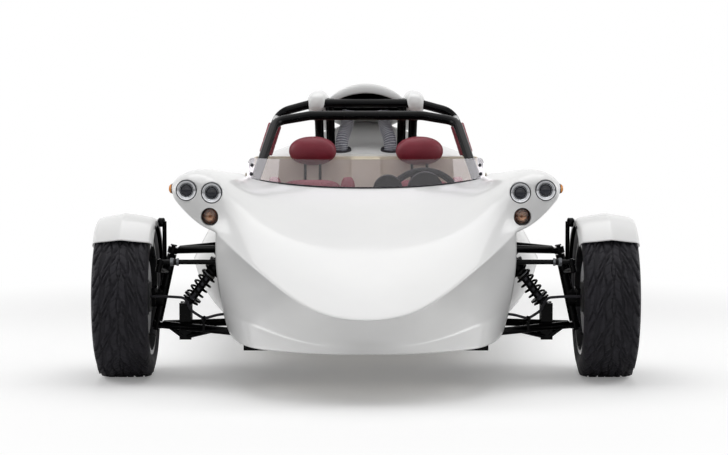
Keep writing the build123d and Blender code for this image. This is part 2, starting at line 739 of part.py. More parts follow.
def front_shocks():
    """Front dampers: body, rod, spring seats and end eyes."""
    foot, head = SHOCK_FOOT, SHOCK_HEAD
    seats = [(0.16, 0.19), (0.80, 0.83)]
    shock = rod(along(foot, head, 0.02), along(foot, head, 0.62), 15)
    shock += rod(along(foot, head, 0.5), along(foot, head, 0.985), 9)
    for low, high in seats:
        shock += rod(along(foot, head, low), along(foot, head, high), SPRING_R + 6)
    for x, y, z in (foot, head):
        shock += along_y(x, z, y - 18, y + 18, BUSH_R + 1)
        shock -= along_y(x, z, y - 40, y + 40, PIN_R)
    return both_sides(shock)


def front_springs():
    """The coil springs over the front dampers."""
    return both_sides(coil(SHOCK_FOOT, SHOCK_HEAD, SPRING_R, SPRING_WIRE_R, SPRING_TURNS, 0.21, 0.78))


def knuckle():
    """Left upright: steering pins, stub axle, steering arm and caliper carrier."""
    upright = kingpin_rod(EYE_H / 2 + 3, KINGPIN_L - EYE_H / 2 - 3, 17)
    upright += kingpin_rod(-EYE_H / 2 - 4, KINGPIN_L + EYE_H / 2 + 4, PIN_R)
    upright += kingpin_rod(-EYE_H / 2 - 9, -EYE_H / 2 - 4, PIN_R + 4)
    upright += kingpin_rod(KINGPIN_L + EYE_H / 2 + 4, KINGPIN_L + EYE_H / 2 + 9, PIN_R + 4)
    z = FRONT_TYRE_R
    upright += rod((752, FRONT_AXLE_Y, z), (792, FRONT_AXLE_Y, z), HUB_R)
    upright += rod((780, FRONT_AXLE_Y, z), (HUB_FACE_X + 22, FRONT_AXLE_Y, z), STUB_R)
    upright += block(772, 784, FRONT_AXLE_Y - 112, FRONT_AXLE_Y, z - 22, z + 44)
    upright += rod((733, FRONT_AXLE_Y, 392), (TIE_ROD_OUTER_X + 6, TIE_ROD_Y, TIE_ROD_Z - 28), 11)
    upright += steer_pin(-30, ROD_END_H / 2 + 4, STEER_PIN_R)
    return upright + steer_pin(-36, -ROD_END_H / 2 - 2, 12)


def caliper():
    """Left brake caliper straddling the disc ahead of the axle."""
    z = FRONT_TYRE_R + 18
    front, back = (FRONT_AXLE_Y - ahead for ahead in CALIPER_AHEAD)
    body = block(*CALIPER_X, front, back, z - 55, z + 50)
    body = fillet(body.edges().filter_by(Axis.X), 12)
    body = body - Pos(DISC_X, FRONT_AXLE_Y, FRONT_TYRE_R) * Rot(0, 90, 0) * Cylinder(DISC_R + 6, DISC_T + 10)
    return body + block(CALIPER_X[0] - 1, CALIPER_X[0] + 1, back - 26, back, z - 40, z + 26)


def steer_pin(low, high, radius):
    """A bar through the tie rod's outer joint, parallel to the steering axis."""
    joint = (TIE_ROD_OUTER_X, TIE_ROD_Y, TIE_ROD_Z)
    ends = [tuple(p + (b - a) * reach / KINGPIN_L for p, a, b in zip(joint, KINGPIN_FOOT, KINGPIN_TOP))
            for reach in (low, high)]
    return rod(*ends, radius)


def tie_rod():
    """Left tie rod: outer rod end, turned bar and the gaiter over its inner joint."""
    outer = (TIE_ROD_OUTER_X, TIE_ROD_Y, TIE_ROD_Z)
    inner = (TIE_ROD_INNER_X, TIE_ROD_Y, TIE_ROD_Z)
    link = rod(along(outer, inner, 0.03), inner, TIE_ROD_R)
    link += steer_pin(-ROD_END_H / 2, ROD_END_H / 2, ROD_END_R)
    link += rod(along(outer, inner, 0.14), along(outer, inner, 0.2), TIE_ROD_R + 3)
    link += rod((inner[0] - 8, inner[1], inner[2]), (inner[0] + 70, inner[1], inner[2]), 13)
    return link - steer_pin(-30, 30, STEER_PIN_R + RUNNING_GAP)


def fender():
    """Left cycle mudguard with a ridge down the middle, on its bracket from the upright."""
    half = FENDER_W / 2
    rise = [(-half, 0), (-half, FENDER_T), (-half * 0.2, FENDER_T + 6), (0, FENDER_T + 11)]
    rise += [(half * 0.3, FENDER_T + 6)]
    rise += [(half - 26, FENDER_T - 2), (half, -20), (half - FENDER_T, -22), (half - 30, -4), (half * 0.3, 0)]
    rise += [(0, 6), (-half * 0.2, 0)]
    points = [(FENDER_X + x, FRONT_AXLE_Y + FENDER_R + r - FENDER_T, FRONT_TYRE_R) for x, r in rise]
    section = make_face(Polyline(points, close=True))
    axis = Axis((0, FRONT_AXLE_Y, FRONT_TYRE_R), (1, 0, 0))
    sweep_deg = 180 - FENDER_FRONT_DEG - FENDER_REAR_DEG
    return revolve(section.rotate(axis, FENDER_REAR_DEG), axis, sweep_deg)


def fender_bracket():
    """Black stay from the hub carrier to the inner edge of the mudguard."""
    inner_x = FENDER_X - FENDER_W / 2
    top = FRONT_TYRE_R + FENDER_R
    y = FRONT_AXLE_Y + 36
    path = [(762, y - 14, FRONT_TYRE_R + 24), (inner_x - 10, y, 400), (inner_x - 10, y, top - 10)]
    stay = bent_tube(path, 60, STAY_R) - knuckle()
    return stay + block(inner_x - 4, inner_x, y - 45, y + 45, top - 24, top + 1)


# ---- wheels ------------------------------------------------------------------------


def tyre(radius, width, rim_r):
    """Hollow tyre on its rim seat, about the X axis at the origin."""
    half = width / 2
    shoulder = TYRE_SHOULDER
    outer = [(-half + 16, rim_r), (-half + 14, rim_r + 10), (-half, rim_r + 32), (-half, radius - 44)]
    outer += [(-half + shoulder, radius - 7)]
    outer += [(-half * 0.5, radius), (half * 0.5, radius), (half - shoulder, radius - 7), (half, radius - 44)]
    outer += [(half, rim_r + 32), (half - 14, rim_r + 10), (half - 16, rim_r)]
    face = make_face(Polyline([(x, r, 0) for x, r in outer], close=True))
    wall = TYRE_WALL
    inner = [(-half + 16 + wall, rim_r - 5), (-half + 14 + wall, rim_r + 12), (-half + wall, rim_r + 34)]
    inner += [(-half + wall, radius - 48)]
    inner += [(-half + shoulder + wall, radius - 7 - wall), (half - shoulder - wall, radius - 7 - wall)]
    inner += [(half - wall, radius - 48), (half - wall, rim_r + 34), (half - 14 - wall, rim_r + 12)]
    inner += [(half - 16 - wall, rim_r - 5)]
    cavity = make_face(Polyline([(x, r, 0) for x, r in inner], close=True))
    return revolve(face - cavity, Axis.X, 360)


def rim(width, rim_r, hub_x, hub_t, spokes, bore):
    """Wheel rim: barrel with two flanges, hub plate and spokes, about the X axis at the origin."""
    half = width / 2
    barrel = [(-half + 8, rim_r + 9), (-half + 13, rim_r + 9), (-half + 13, rim_r), (half - 13, rim_r)]
    barrel += [(half - 13, rim_r + 9), (half - 8, rim_r + 9), (half - 8, rim_r - RIM_WALL)]
    barrel += [(-half + 8, rim_r - RIM_WALL)]
    wheel = revolve(make_face(Polyline([(x, r, 0) for x, r in barrel], close=True)), Axis.X, 360)
    wheel += Pos(hub_x + hub_t / 2, 0, 0) * Rot(0, 90, 0) * Cylinder(HUB_PLATE_R, hub_t)
    spoke = Pos(hub_x + hub_t / 2, 0, (rim_r - 3) / 2 + 25) * Box(hub_t, 34, rim_r - 53)
    for turn in range(spokes):
        wheel += Rot(360 / spokes * turn, 0, 0) * spoke
    return wheel - Rot(0, 90, 0) * Cylinder(bore, 4 * width)


def front_wheel(piece):
    """Moves a piece made about the origin to the left front wheel's centre."""
    return Pos(FRONT_TRACK_X, FRONT_AXLE_Y, FRONT_TYRE_R) * piece


def rear_wheel(piece):
    """Moves a piece made about the origin to the rear wheel's centre."""
    return Pos(0, REAR_AXLE_Y, REAR_TYRE_R) * piece


def front_rim():
    """Left front rim, whose hub plate seats on the disc's bell."""
    bore = STUB_R + RUNNING_GAP
    return front_wheel(rim(FRONT_TYRE_W, FRONT_RIM_R, HUB_FACE_X - FRONT_TRACK_X, HUB_PLATE_T, SPOKES, bore))


def front_disc():
    """Left brake disc with its bell, on the wheel's hub face."""
    disc = rod((-DISC_T / 2, 0, 0), (DISC_T / 2, 0, 0), DISC_R) - rod((-40, 0, 0), (40, 0, 0), 66)
    bell = rod((DISC_T / 2 - 8, 0, 0), (HUB_FACE_X - DISC_X, 0, 0), 70)
    bell -= rod((DISC_T / 2 - 20, 0, 0), (HUB_FACE_X - DISC_X - 6, 0, 0), 62)
    disc += bell - rod((-100, 0, 0), (100, 0, 0), STUB_R + RUNNING_GAP)
    return Pos(DISC_X, FRONT_AXLE_Y, FRONT_TYRE_R) * disc


def axle_bore(x0, x1):
    """The running bore of the rear axle through whatever turns on it."""
    return rod((x0, 0, 0), (x1, 0, 0), REAR_AXLE_R + RUNNING_GAP)


def rear_disc():
    """Rear brake disc on the wheel's right side."""
    disc = rod((REAR_DISC_X - 4, 0, 0), (REAR_DISC_X + 4, 0, 0), REAR_DISC_R)
    disc -= rod((-200, 0, 0), (-100, 0, 0), 60)
    carrier = rod((REAR_DISC_X, 0, 0), (-REAR_HUB_X, 0, 0), 66) - axle_bore(-200, -90)
    return rear_wheel(disc + carrier)


def rear_sprocket():
    """Toothed final-drive sprocket on the wheel's left side."""
    plate = rod((CHAIN_X - SPROCKET_T / 2, 0, 0), (CHAIN_X + SPROCKET_T / 2, 0, 0), SPROCKET_R)
    plate += rod((REAR_HUB_X, 0, 0), (CHAIN_X, 0, 0), 66)
    for turn in range(SPROCKET_HOLES):
        hole = rod((CHAIN_X - 20, 0, 82), (CHAIN_X + 20, 0, 82), 12)
        plate -= Rot(360 / SPROCKET_HOLES * turn, 0, 0) * hole
    return rear_wheel(plate - axle_bore(0, 300))


def rear_rim():
    """Wide rear rim with a hub barrel right across it."""
    wheel = rim(REAR_TYRE_W, REAR_RIM_R, -REAR_HUB_T / 2, REAR_HUB_T, SPOKES, REAR_AXLE_R + RUNNING_GAP)
    hub = rod((-REAR_HUB_X, 0, 0), (REAR_HUB_X, 0, 0), 60) - axle_bore(-300, 300)
    return rear_wheel(wheel + hub)


# ---- rear suspension and driveline -----------------------------------------------------
def swingarm():
    """Box-section swingarm with its pivot tube, cross beam, axle and damper lug."""
    _, y, z = SWINGARM_PIVOT
    arm = rod((-SWINGARM_X, y, z), (SWINGARM_X, y, z), 26)
    for x in (-SWINGARM_X, SWINGARM_X):
        inner, outer = x - SWINGARM_HALF_W, x + SWINGARM_HALF_W
        arm += block(inner, outer, y - 26, REAR_AXLE_Y + 48, z - 28, z + 32)
    arm += block(-SWINGARM_X, SWINGARM_X, *SHOCK_BEAM_Y, z - 20, z + 26)
    arm += block(-30, 30, 915, 955, z + 20, z + 96) - block(-24, 24, 900, 970, z + 40, z + 100)
    _, lug_y, lug_z = REAR_SHOCK_FOOT
    arm += rod((-30, lug_y, lug_z), (30, lug_y, lug_z), PIN_R)
    arm -= rod((-400, y, z), (400, y, z), PIVOT_R)
    return arm - rod((-300, REAR_AXLE_Y, REAR_TYRE_R), (300, REAR_AXLE_Y, REAR_TYRE_R), REAR_AXLE_R)


def rear_axle():
    """Rear axle bar with its end nuts."""
    reach = SWINGARM_X + 2 * SWINGARM_HALF_W
    bar = rod((-reach, REAR_AXLE_Y, REAR_TYRE_R), (reach, REAR_AXLE_Y, REAR_TYRE_R), REAR_AXLE_R)
    for side in (-1, 1):
        x = side * (SWINGARM_X + SWINGARM_HALF_W)
        bar += rod((x, REAR_AXLE_Y, REAR_TYRE_R), (x + side * 12, REAR_AXLE_Y, REAR_TYRE_R), 24)
    return bar


def rear_shock():
    """Rear damper between the swingarm lug and the frame cross tube."""
    foot, head = REAR_SHOCK_FOOT, REAR_SHOCK_HEAD
    shock = rod(along(foot, head, 0.05), along(foot, head, 0.6), 20)
    shock += rod(along(foot, head, 0.5), along(foot, head, 0.95), 9)
    for low, high in [(0.12, 0.16), (0.84, 0.88)]:
        shock += rod(along(foot, head, low), along(foot, head, high), REAR_SPRING_R + 7)
    for x, y, z in (foot, head):
        shock += rod((-13, y, z), (13, y, z), 16)
        shock -= rod((-60, y, z), (60, y, z), PIN_R)
    return shock


def rear_spring():
    """Coil spring over the rear damper."""
    foot, head = REAR_SHOCK_FOOT, REAR_SHOCK_HEAD
    return coil(foot, head, REAR_SPRING_R, REAR_SPRING_WIRE_R, SPRING_TURNS, 0.183, 0.817)


def loop_outline(grow_front, grow_rear):
    """Belt-shaped outline round both sprockets, in the plane across the car."""
    (y0, z0), r0 = OUTPUT_SHAFT, DRIVE_SPROCKET_R + grow_front
    y1, z1, r1 = REAR_AXLE_Y, REAR_TYRE_R, SPROCKET_R + grow_rear
    span = math.dist((y0, z0), (y1, z1))
    base = math.atan2(z1 - z0, y1 - y0)
    spread = math.acos((r0 - r1) / span)
    up, down = base + spread, base - spread
    a = (0, y0 + r0 * math.cos(up), z0 + r0 * math.sin(up))
    b = (0, y1 + r1 * math.cos(up), z1 + r1 * math.sin(up))
    c = (0, y1 + r1 * math.cos(down), z1 + r1 * math.sin(down))
    d = (0, y0 + r0 * math.cos(down), z0 + r0 * math.sin(down))
    back = (0, y1 + r1 * math.cos(base), z1 + r1 * math.sin(base))
    nose = (0, y0 - r0 * math.cos(base), z0 - r0 * math.sin(base))
    edges = [Line(a, b), ThreePointArc(b, back, c), Line(c, d), ThreePointArc(d, nose, a)]
    return make_face(edges)


def chain():
    """Final-drive chain loop round the two sprockets."""
    ring = loop_outline(CHAIN_T, CHAIN_GAP + CHAIN_T) - loop_outline(0, CHAIN_GAP)
    loop = extrude(ring, CHAIN_T / 2, dir=(1, 0, 0), both=True)
    return Pos(CHAIN_X, 0, 0) * loop


def engine():
    """Transverse twin-cylinder-bank engine block with gearbox, head and output sprocket."""
    left, right = CASE_X[1], CASE_X[0]
    y, z = OUTPUT_SHAFT
    crankcase = block(*CASE_X, *CASE_Y, 190, 400) + block(-180, left + 30, 640, 745, 200, 380)
    head = Pos(-60, 560, 470) * Rot(15, 0, 0) * Box(330, 170, 190)
    cover = rod((right - 22, 590, 300), (right, 590, 300), 88)
    cover += rod((left, 610, 300), (left + 22, 610, 300), 76)
    shaft = rod((left + 30, y, z), (CHAIN_X, y, z), OUTPUT_SHAFT_R)
    shaft += block(left, left + 30, 640, y + 30, 250, 380)
    sprocket = rod((CHAIN_X - 4, y, z), (CHAIN_X + 4, y, z), DRIVE_SPROCKET_R)
    return crankcase + head + cover + shaft + sprocket


def exhaust():
    """Two silencers on the sides of the bay and the pipes that feed them."""
    (x, z, radius), (y0, y1) = SILENCER, SILENCER_Y
    pipe_r = SILENCER_PIPE_R
    can = along_y(x, z, y0, y1, radius) - along_y(x, z, y1 - 60, y1 + 5, pipe_r + 2)
    tail = along_y(x, z, y1 - 70, y1 + 36, pipe_r) - along_y(x, z, y1 - 60, y1 + 40, pipe_r - 4)
    route = [(96, 470, 420), (96, 460, 240), (300, 500, 194), (x, 640, 240), (x, y0 + 2, z)]
    pipe = bent_tube(route, 40, HEADER_R)
    return both_sides(can + tail + pipe) - engine()


# ---- frame, lamps and small parts --------------------------------------------------------


def front_upright(side, y):
    """A tube between the lower and upper rails that carry the front arms."""
    low = (side * (LOWER_ARM_INNER[0] - BUSH_R - FRAME_R - UPRIGHT_INSET), y, TUB_FLOOR_Z - 10)
    high = (side * (UPPER_ARM_INNER[0] - BUSH_R - FRAME_R - UPRIGHT_INSET), y, UPPER_ARM_INNER[2])
    return rod(low, high, BRACE_R)


def floor_frame():
    """Box-tube floor frame with its jacking pads and the towing eye."""
    low, high = TUB_FLOOR_Z - RAIL, TUB_FLOOR_Z
    half = RAIL / 2
    frame = block(-RAIL_X[0] - half, RAIL_X[0] + half, *FLOOR_REAR_Y, low, high)
    for y in FLOOR_CROSS_Y:
        frame += block(-RAIL_X[1] - half, RAIL_X[1] + half, y - half, y + half, low, high)
    for side in (-1, 1):
        for x in RAIL_X:
            rail_x = side * x
            frame += block(rail_x - half, rail_x + half, FLOOR_CROSS_Y[0] - half, FLOOR_REAR_Y[1], low, high)
        frame += block(side * JACK_X - 85, side * JACK_X + 85, *FLOOR_REAR_Y, low, high)
        for y in JACK_Y:
            frame += block(side * JACK_X - 40, side * JACK_X + 40, y - 40, y + 40, low - JACK_DROP, low + 10)
    frame += block(-TOW_EYE_W, TOW_EYE_W, TOW_EYE_Y - 22, FLOOR_CROSS_Y[0], low + 4, low + 16)
    return frame - Pos(0, TOW_EYE_Y, low) * Cylinder(TOW_EYE_R, 60)


def front_frames():
    """The two welded boxes beside the footwell that carry the front arms and dampers."""
    boxes = None
    for side in (-1, 1):
        box = front_upright(side, FRONT_UPRIGHT_Y[0]) + front_upright(side, FRONT_UPRIGHT_Y[1])
        for x, _, z in (UPPER_ARM_INNER, LOWER_ARM_INNER):
            box += along_y(side * (x - BUSH_R - FRAME_R), z, *FRONT_RAIL_Y, FRAME_R)
        for y in (FRONT_AXLE_Y - 28, FRONT_AXLE_Y + 20):
            plate_x = side * SHOCK_PLATE_X
            box += block(plate_x - 34, plate_x + 34, y, y + 8, 448, 492)
        box += along_y(side * SHOCK_HEAD[0], SHOCK_HEAD[2], FRONT_AXLE_Y - 28, FRONT_AXLE_Y + 28, PIN_R)
        boxes = box if boxes is None else boxes + box
    return boxes - block(-900, 900, -1300, -600, 0, TUB_FLOOR_Z)


def engine_frame():
    """Tubes round the engine, with the swingarm pivot and the damper lugs."""
    _, pivot_y, pivot_z = SWINGARM_PIVOT
    foot_z = TUB_FLOOR_Z - RAIL / 2
    x0, x1, base_y = RAIL_X[0], ENGINE_TUBE_X, sum(FLOOR_REAR_Y) / 2
    frame = rod((-x1, pivot_y, LOW_CROSS_Z), (x1, pivot_y, LOW_CROSS_Z), BRACE_R)
    frame += rod((-x1, HIGH_CROSS_Y, HIGH_CROSS_Z), (x1, HIGH_CROSS_Y, HIGH_CROSS_Z), BRACE_R)
    frame += rod((-PIVOT_TUBE_X, pivot_y, pivot_z), (PIVOT_TUBE_X, pivot_y, pivot_z), PIVOT_R)
    for side in (-1, 1):
        rail = [(side * x0, base_y, foot_z), (side * x0, base_y, 460), (side * x0, 560, 560)]
        rail += [(side * x1, HIGH_CROSS_Y, HIGH_CROSS_Z)]
        frame += bent_tube(rail, ENGINE_BEND, BRACE_R)
        frame += rod((side * x0, 450, foot_z - 1), (side * x1, pivot_y, LOW_CROSS_Z), BRACE_R)
        post = [(side * x1, pivot_y, LOW_CROSS_Z - 20), (side * x1, HIGH_CROSS_Y - 3, HIGH_CROSS_Z + 30)]
        frame += rod(*post, FRAME_R)
        frame += block(side * PIVOT_TUBE_X - 13, side * PIVOT_TUBE_X + 13, 800, 876, 290, 370)
    _, head_y, head_z = REAR_SHOCK_HEAD
    for x in (-20, 20):
        frame += block(x - 4, x + 4, head_y - 16, head_y + 16, head_z - 16, HIGH_CROSS_Z - 5)
    frame += rod((-24, head_y, head_z), (24, head_y, head_z), PIN_R)
    return frame - floor_frame()


def lamp_line(x, z, y0, y1, outer, inner=0.0):
    """A ring or disc across the car, centred on a lamp."""
    ring = along_y(x, z, y0, y1, outer)
    return ring - along_y(x, z, y0 - 5, y1 + 5, inner) if inner else ring


def headlamps():
    """Chrome rings with their projector bowls, set into the lamp pods."""
    lamps = None
    for x, z, r in LAMPS:
        ring = lamp_line(x, z, LAMP_FACE_Y - 4, LAMP_FACE_Y + BOWL_DEPTH, r - SEAT_GAP, r - BEZEL_T)
        bowl = lamp_line(x, z, LAMP_FACE_Y + 18, LAMP_FACE_Y + BOWL_DEPTH, r - BEZEL_T + 1)
        lamp = ring + bowl
        lamps = lamp if lamps is None else lamps + lamp
    return both_sides(lamps)


def headlamp_lenses():
    """Domed lenses behind the headlamp rings."""
    lenses = None
    for x, z, r in LAMPS:
        cap = Pos(x, LAMP_FACE_Y + 36, z) * Sphere(LENS_DOME_R)
        lens = cap & lamp_line(x, z, LAMP_FACE_Y - 14, LAMP_FACE_Y + 17.7, r - BEZEL_T - SEAT_GAP)
        lenses = lens if lenses is None else lenses + lens
    return both_sides(lenses)


def fog_lamps():
    """Small round lamps under the headlamps."""
    x, z, r = FOG_LAMP
    lamp = lamp_line(x, z, LAMP_FACE_Y - 2, LAMP_FACE_Y + BOWL_DEPTH, r - SEAT_GAP)
    return both_sides(lamp - lamp_line(x, z, LAMP_FACE_Y - 6, LAMP_FACE_Y + 4, r - 4))


def side_markers():
    """Round markers on the outer sides of the pods."""
    x, y, z = MARKER
    return both_sides(rod((x - 6, y, z), (x + 8, y, z), MARKER_R) - lamp_pod())


def tail_lamps():
    """Round rear lamps on the engine cover's tail face."""
    return both_sides(lamp_line(*TAIL_LAMP, BODY_END_Y + SEAT_GAP, BODY_END_Y + 26, TAIL_LAMP_R))


def hoop_pads():
    """Padded sleeves on the legs of the main hoop."""
    foot, head = ((x, HOOP_Y, z) for x, z in HOOP_LEG[1:3])
    low, high = (along(foot, head, share) for share in PAD_SPAN)
    pad = rod(low, high, PAD_R) - rod(along(foot, head, -0.3), along(foot, head, 1.3), CAGE_R + SEAT_GAP)
    return both_sides(pad)


def pedals():
    """Three pedals on their cross bar under the footwell roof."""
    (y, z), (pad_y, pad_z) = PEDAL_BAR, PEDAL_PAD
    bar = rod((SEAT_X - 110, y, z), (SEAT_X + 110, y, z), 8)
    for x in (SEAT_X - 96, SEAT_X + 96):
        bar += block(x - 5, x + 5, y - 10, y + 10, z - 4, FOOTWELL_ROOF_Z - TUB_WALL)
    for x in (SEAT_X + dx for dx in PEDAL_DX):
        bar += rod((x, y, z), (x, pad_y - 3, pad_z + 5), 6)
        bar += Pos(x, pad_y, pad_z) * Rot(20, 0, 0) * Box(52, 8, 66)
    return bar


def gear_lever():
    """Gear lever with its knob and gaiter on the tunnel."""
    stick = rod((0, LEVER_Y, TUNNEL_TOP_Z + 2), (0, LEVER_Y + 20, TUNNEL_TOP_Z + 120), 6)
    knob = Pos(0, LEVER_Y + 22, TUNNEL_TOP_Z + 130) * Sphere(22)
    gaiter = Pos(0, LEVER_Y, TUNNEL_TOP_Z + 15) * Cone(32, 14, 30)
    return stick + knob + gaiter


def brake_hose():
    """Left brake line, from the front upright of the frame over its clip and up to the caliper."""
    return bent_tube(HOSE_ROUTE, HOSE_BEND, HOSE_R) - front_upright(1, FRONT_UPRIGHT_Y[0])


def headrests():
    """Both padded headrests."""
    return both_sides(headrest())


def headrest_posts():
    """The two posts under each headrest, set into the seat back."""
    posts = []
    for x in (HEADREST_X - POST_X, HEADREST_X + POST_X):
        post = rod((x, HEADREST_Y, SEAT_BACK_Z - 50), (x, HEADREST_Y, HEADREST_Z), POST_R)
        posts.append(both_sides(post - headrest()))
    return posts[0] + posts[1]


def main():
    """Builds every piece and writes one STEP file for each."""
    left_wheel = {
        "tyre": front_wheel(tyre(FRONT_TYRE_R, FRONT_TYRE_W, FRONT_RIM_R)),
        "rim": front_rim(),
        "disc": front_disc(),
        "knuckle": knuckle() + fender_bracket(),
        "caliper": caliper(),
        "tie_rod": tie_rod(),
        "fender": fender(),
        "brake_hose": brake_hose(),
    }
    nose = nose_body()
    pieces = {
        "nose_body": nose,
        "side_bodies": side_bodies() - nose,
        "cockpit_tub": cockpit_tub(),
        "rear_body": rear_body(),
        "air_scoop": air_scoop(),
        "hoop_fairings": hoop_fairings(),
        "intake_ducts": intake_ducts(),
        "windscreen": windscreen() - nose,
        "tail_body": tail_body() + plate_bracket(),
        "roll_cage": roll_cage(),
        "floor_frame": floor_frame(),
        "front_frames": front_frames(),
        "engine_frame": engine_frame(),
        "seats": both_sides(seat()),
        "headrests": headrests(),
        "headrest_posts": headrest_posts(),
        "hoop_pads": hoop_pads(),
        "dash": dash(),
        "pedals": pedals(),
        "gear_lever": gear_lever(),
        "steering_wheel": column_frame() * steering_wheel(),
        "headlamps": headlamps(),
        "headlamp_lenses": headlamp_lenses(),
        "fog_lamps": fog_lamps(),
        "side_markers": side_markers(),
        "tail_lamps": tail_lamps(),
        "upper_arms": upper_arms(),
        "lower_arms": lower_arms(),
        "front_shocks": front_shocks(),
        "front_springs": front_springs(),
        "tyre_rear": rear_wheel(tyre(REAR_TYRE_R, REAR_TYRE_W, REAR_RIM_R)),
        "rim_rear": rear_rim(),
        "disc_rear": rear_disc(),
        "sprocket_rear": rear_sprocket(),
        "swingarm": swingarm() + rear_axle(),
        "shock_rear": rear_shock(),
        "spring_rear": rear_spring(),
        "chain": chain(),
        "engine": engine(),
        "exhaust": exhaust(),
    }
    for name, solid in left_wheel.items():
        pieces[name + "_l"] = solid
        pieces[name + "_r"] = mirror_x(solid)
    os.makedirs("parts", exist_ok=True)
    for name, solid in pieces.items():
        export_step(solid, f"parts/{name}.step")


if __name__ == "__main__":
    main()
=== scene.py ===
"""Open two-seat three-wheeler with exposed front wheels, dressed over its CAD frame."""

import logging
from abc import ABC, abstractmethod
from collections.abc import Iterator, Sequence
from contextlib import contextmanager
from dataclasses import dataclass
from enum import Enum
from math import asin, cos, exp, pi, radians, sin, sqrt, tau

import bmesh
import bpy
from mathutils import Matrix, Vector, noise


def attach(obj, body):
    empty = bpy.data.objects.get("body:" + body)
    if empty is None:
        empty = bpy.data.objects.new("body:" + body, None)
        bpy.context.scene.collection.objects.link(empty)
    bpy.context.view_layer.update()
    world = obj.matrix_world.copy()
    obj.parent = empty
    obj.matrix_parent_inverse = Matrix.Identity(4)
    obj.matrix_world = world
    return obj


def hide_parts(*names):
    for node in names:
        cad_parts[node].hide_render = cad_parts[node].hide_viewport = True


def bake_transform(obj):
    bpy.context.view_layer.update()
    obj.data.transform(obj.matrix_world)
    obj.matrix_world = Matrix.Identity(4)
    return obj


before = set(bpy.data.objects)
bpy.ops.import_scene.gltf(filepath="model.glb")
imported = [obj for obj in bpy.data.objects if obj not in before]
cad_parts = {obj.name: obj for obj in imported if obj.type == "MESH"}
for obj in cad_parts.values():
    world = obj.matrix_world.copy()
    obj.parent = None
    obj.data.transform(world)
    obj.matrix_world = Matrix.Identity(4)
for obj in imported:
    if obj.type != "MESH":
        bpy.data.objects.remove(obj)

log = logging.getLogger("three_wheeler")

MM = 0.001
SIDES = ((1, "l"), (-1, "r"))
BACKWARDS = (0, 1, 0)

Face = tuple[int, ...]
Point = tuple[float, float, float]
Place = Point | Vector
Section = Sequence[tuple[float, float]]


# ---- small helpers -----------------------------------------------------------------
def hex_to_linear(code: str) -> tuple[float, float, float, float]:
    """Turns an sRGB hex code into linear red, green, blue and alpha.

    Args:
        code: Six hex digits, with or without a leading hash.

    Returns:
        The four values.
    """
    digits = code.lstrip("#")
    srgb = [int(digits[i : i + 2], 16) / 255 for i in (0, 2, 4)]
    linear = [c / 12.92 if c <= 0.04045 else ((c + 0.055) / 1.055) ** 2.4 for c in srgb]
    return (*linear, 1.0)


@dataclass
class SidePart(ABC):
    """Something that the car has on both sides; its side is 1 on the left and -1 on the right."""

    side: int
    letter: str

    def at(self, point: Point) -> Vector:
        """Gives the point on this side that answers to a point given for the left."""
        return Vector((self.side * point[0], *point[1:]))

    @abstractmethod
    def build(self) -> None:
        """Builds the part on its side."""


def both(kind: type[SidePart]) -> list[SidePart]:
    """Makes the left one and the right one of a part."""
    return [kind(side, letter) for side, letter in SIDES]


def squircle(angle: float, power: float) -> tuple[float, float]:
    """Gives a point on a rounded square that reaches from -1 to 1; a power of 2 makes it a circle.

    Args:
        angle: How far round it the point lies.
        power: How square it is; 2 makes it a circle.

    Returns:
        The point's two places.
    """
    c, s = cos(angle), sin(angle)
    size = (abs(c) ** power + abs(s) ** power) ** (1 / power)
    return c / size, s / size


def empty_tree(owner: bpy.types.Material | bpy.types.World) -> bpy.types.NodeTree:
    """Gives a material or a world an empty node tree.

    Args:
        owner: The material or the world.

    Returns:
        The node tree.
    """
    owner.use_nodes = True
    owner.node_tree.nodes.clear()
    return owner.node_tree


def add_node(
    tree: bpy.types.NodeTree,
    kind: str,
    links: dict[str | int, object] | None = None,
    output: str | int = 0,
    **settings: object,
) -> bpy.types.NodeSocket | None:
    """Adds a shader node, sets it and links its inputs.

    Args:
        tree: The material's or the world's node tree.
        kind: The node's type name without its common start.
        links: Output sockets, or plain values, by the name or number of the input they go to.
        output: The name or number of the output that is wanted.
        settings: Properties of the node, by name.

    Returns:
        The wanted output, or None where the node has no outputs.
    """
    node = tree.nodes.new(f"ShaderNode{kind}")
    for name, value in settings.items():
        setattr(node, name, value)
    for key, value in (links or {}).items():
        socket = node.inputs[key]
        if isinstance(value, bpy.types.NodeSocket):
            tree.links.new(value, socket)
        else:
            socket.default_value = value
    return node.outputs[output] if node.outputs else None


# ---- finishes ------------------------------------------------------------------------
class Surface(Enum):
    """How a surface was made, which decides its relief."""

    POLISHED = "polished"
    SPRAYED = "sprayed"
    MOULDED = "moulded"
    GRAINED = "grained"
    BRUSHED = "brushed"
    CAST = "cast"


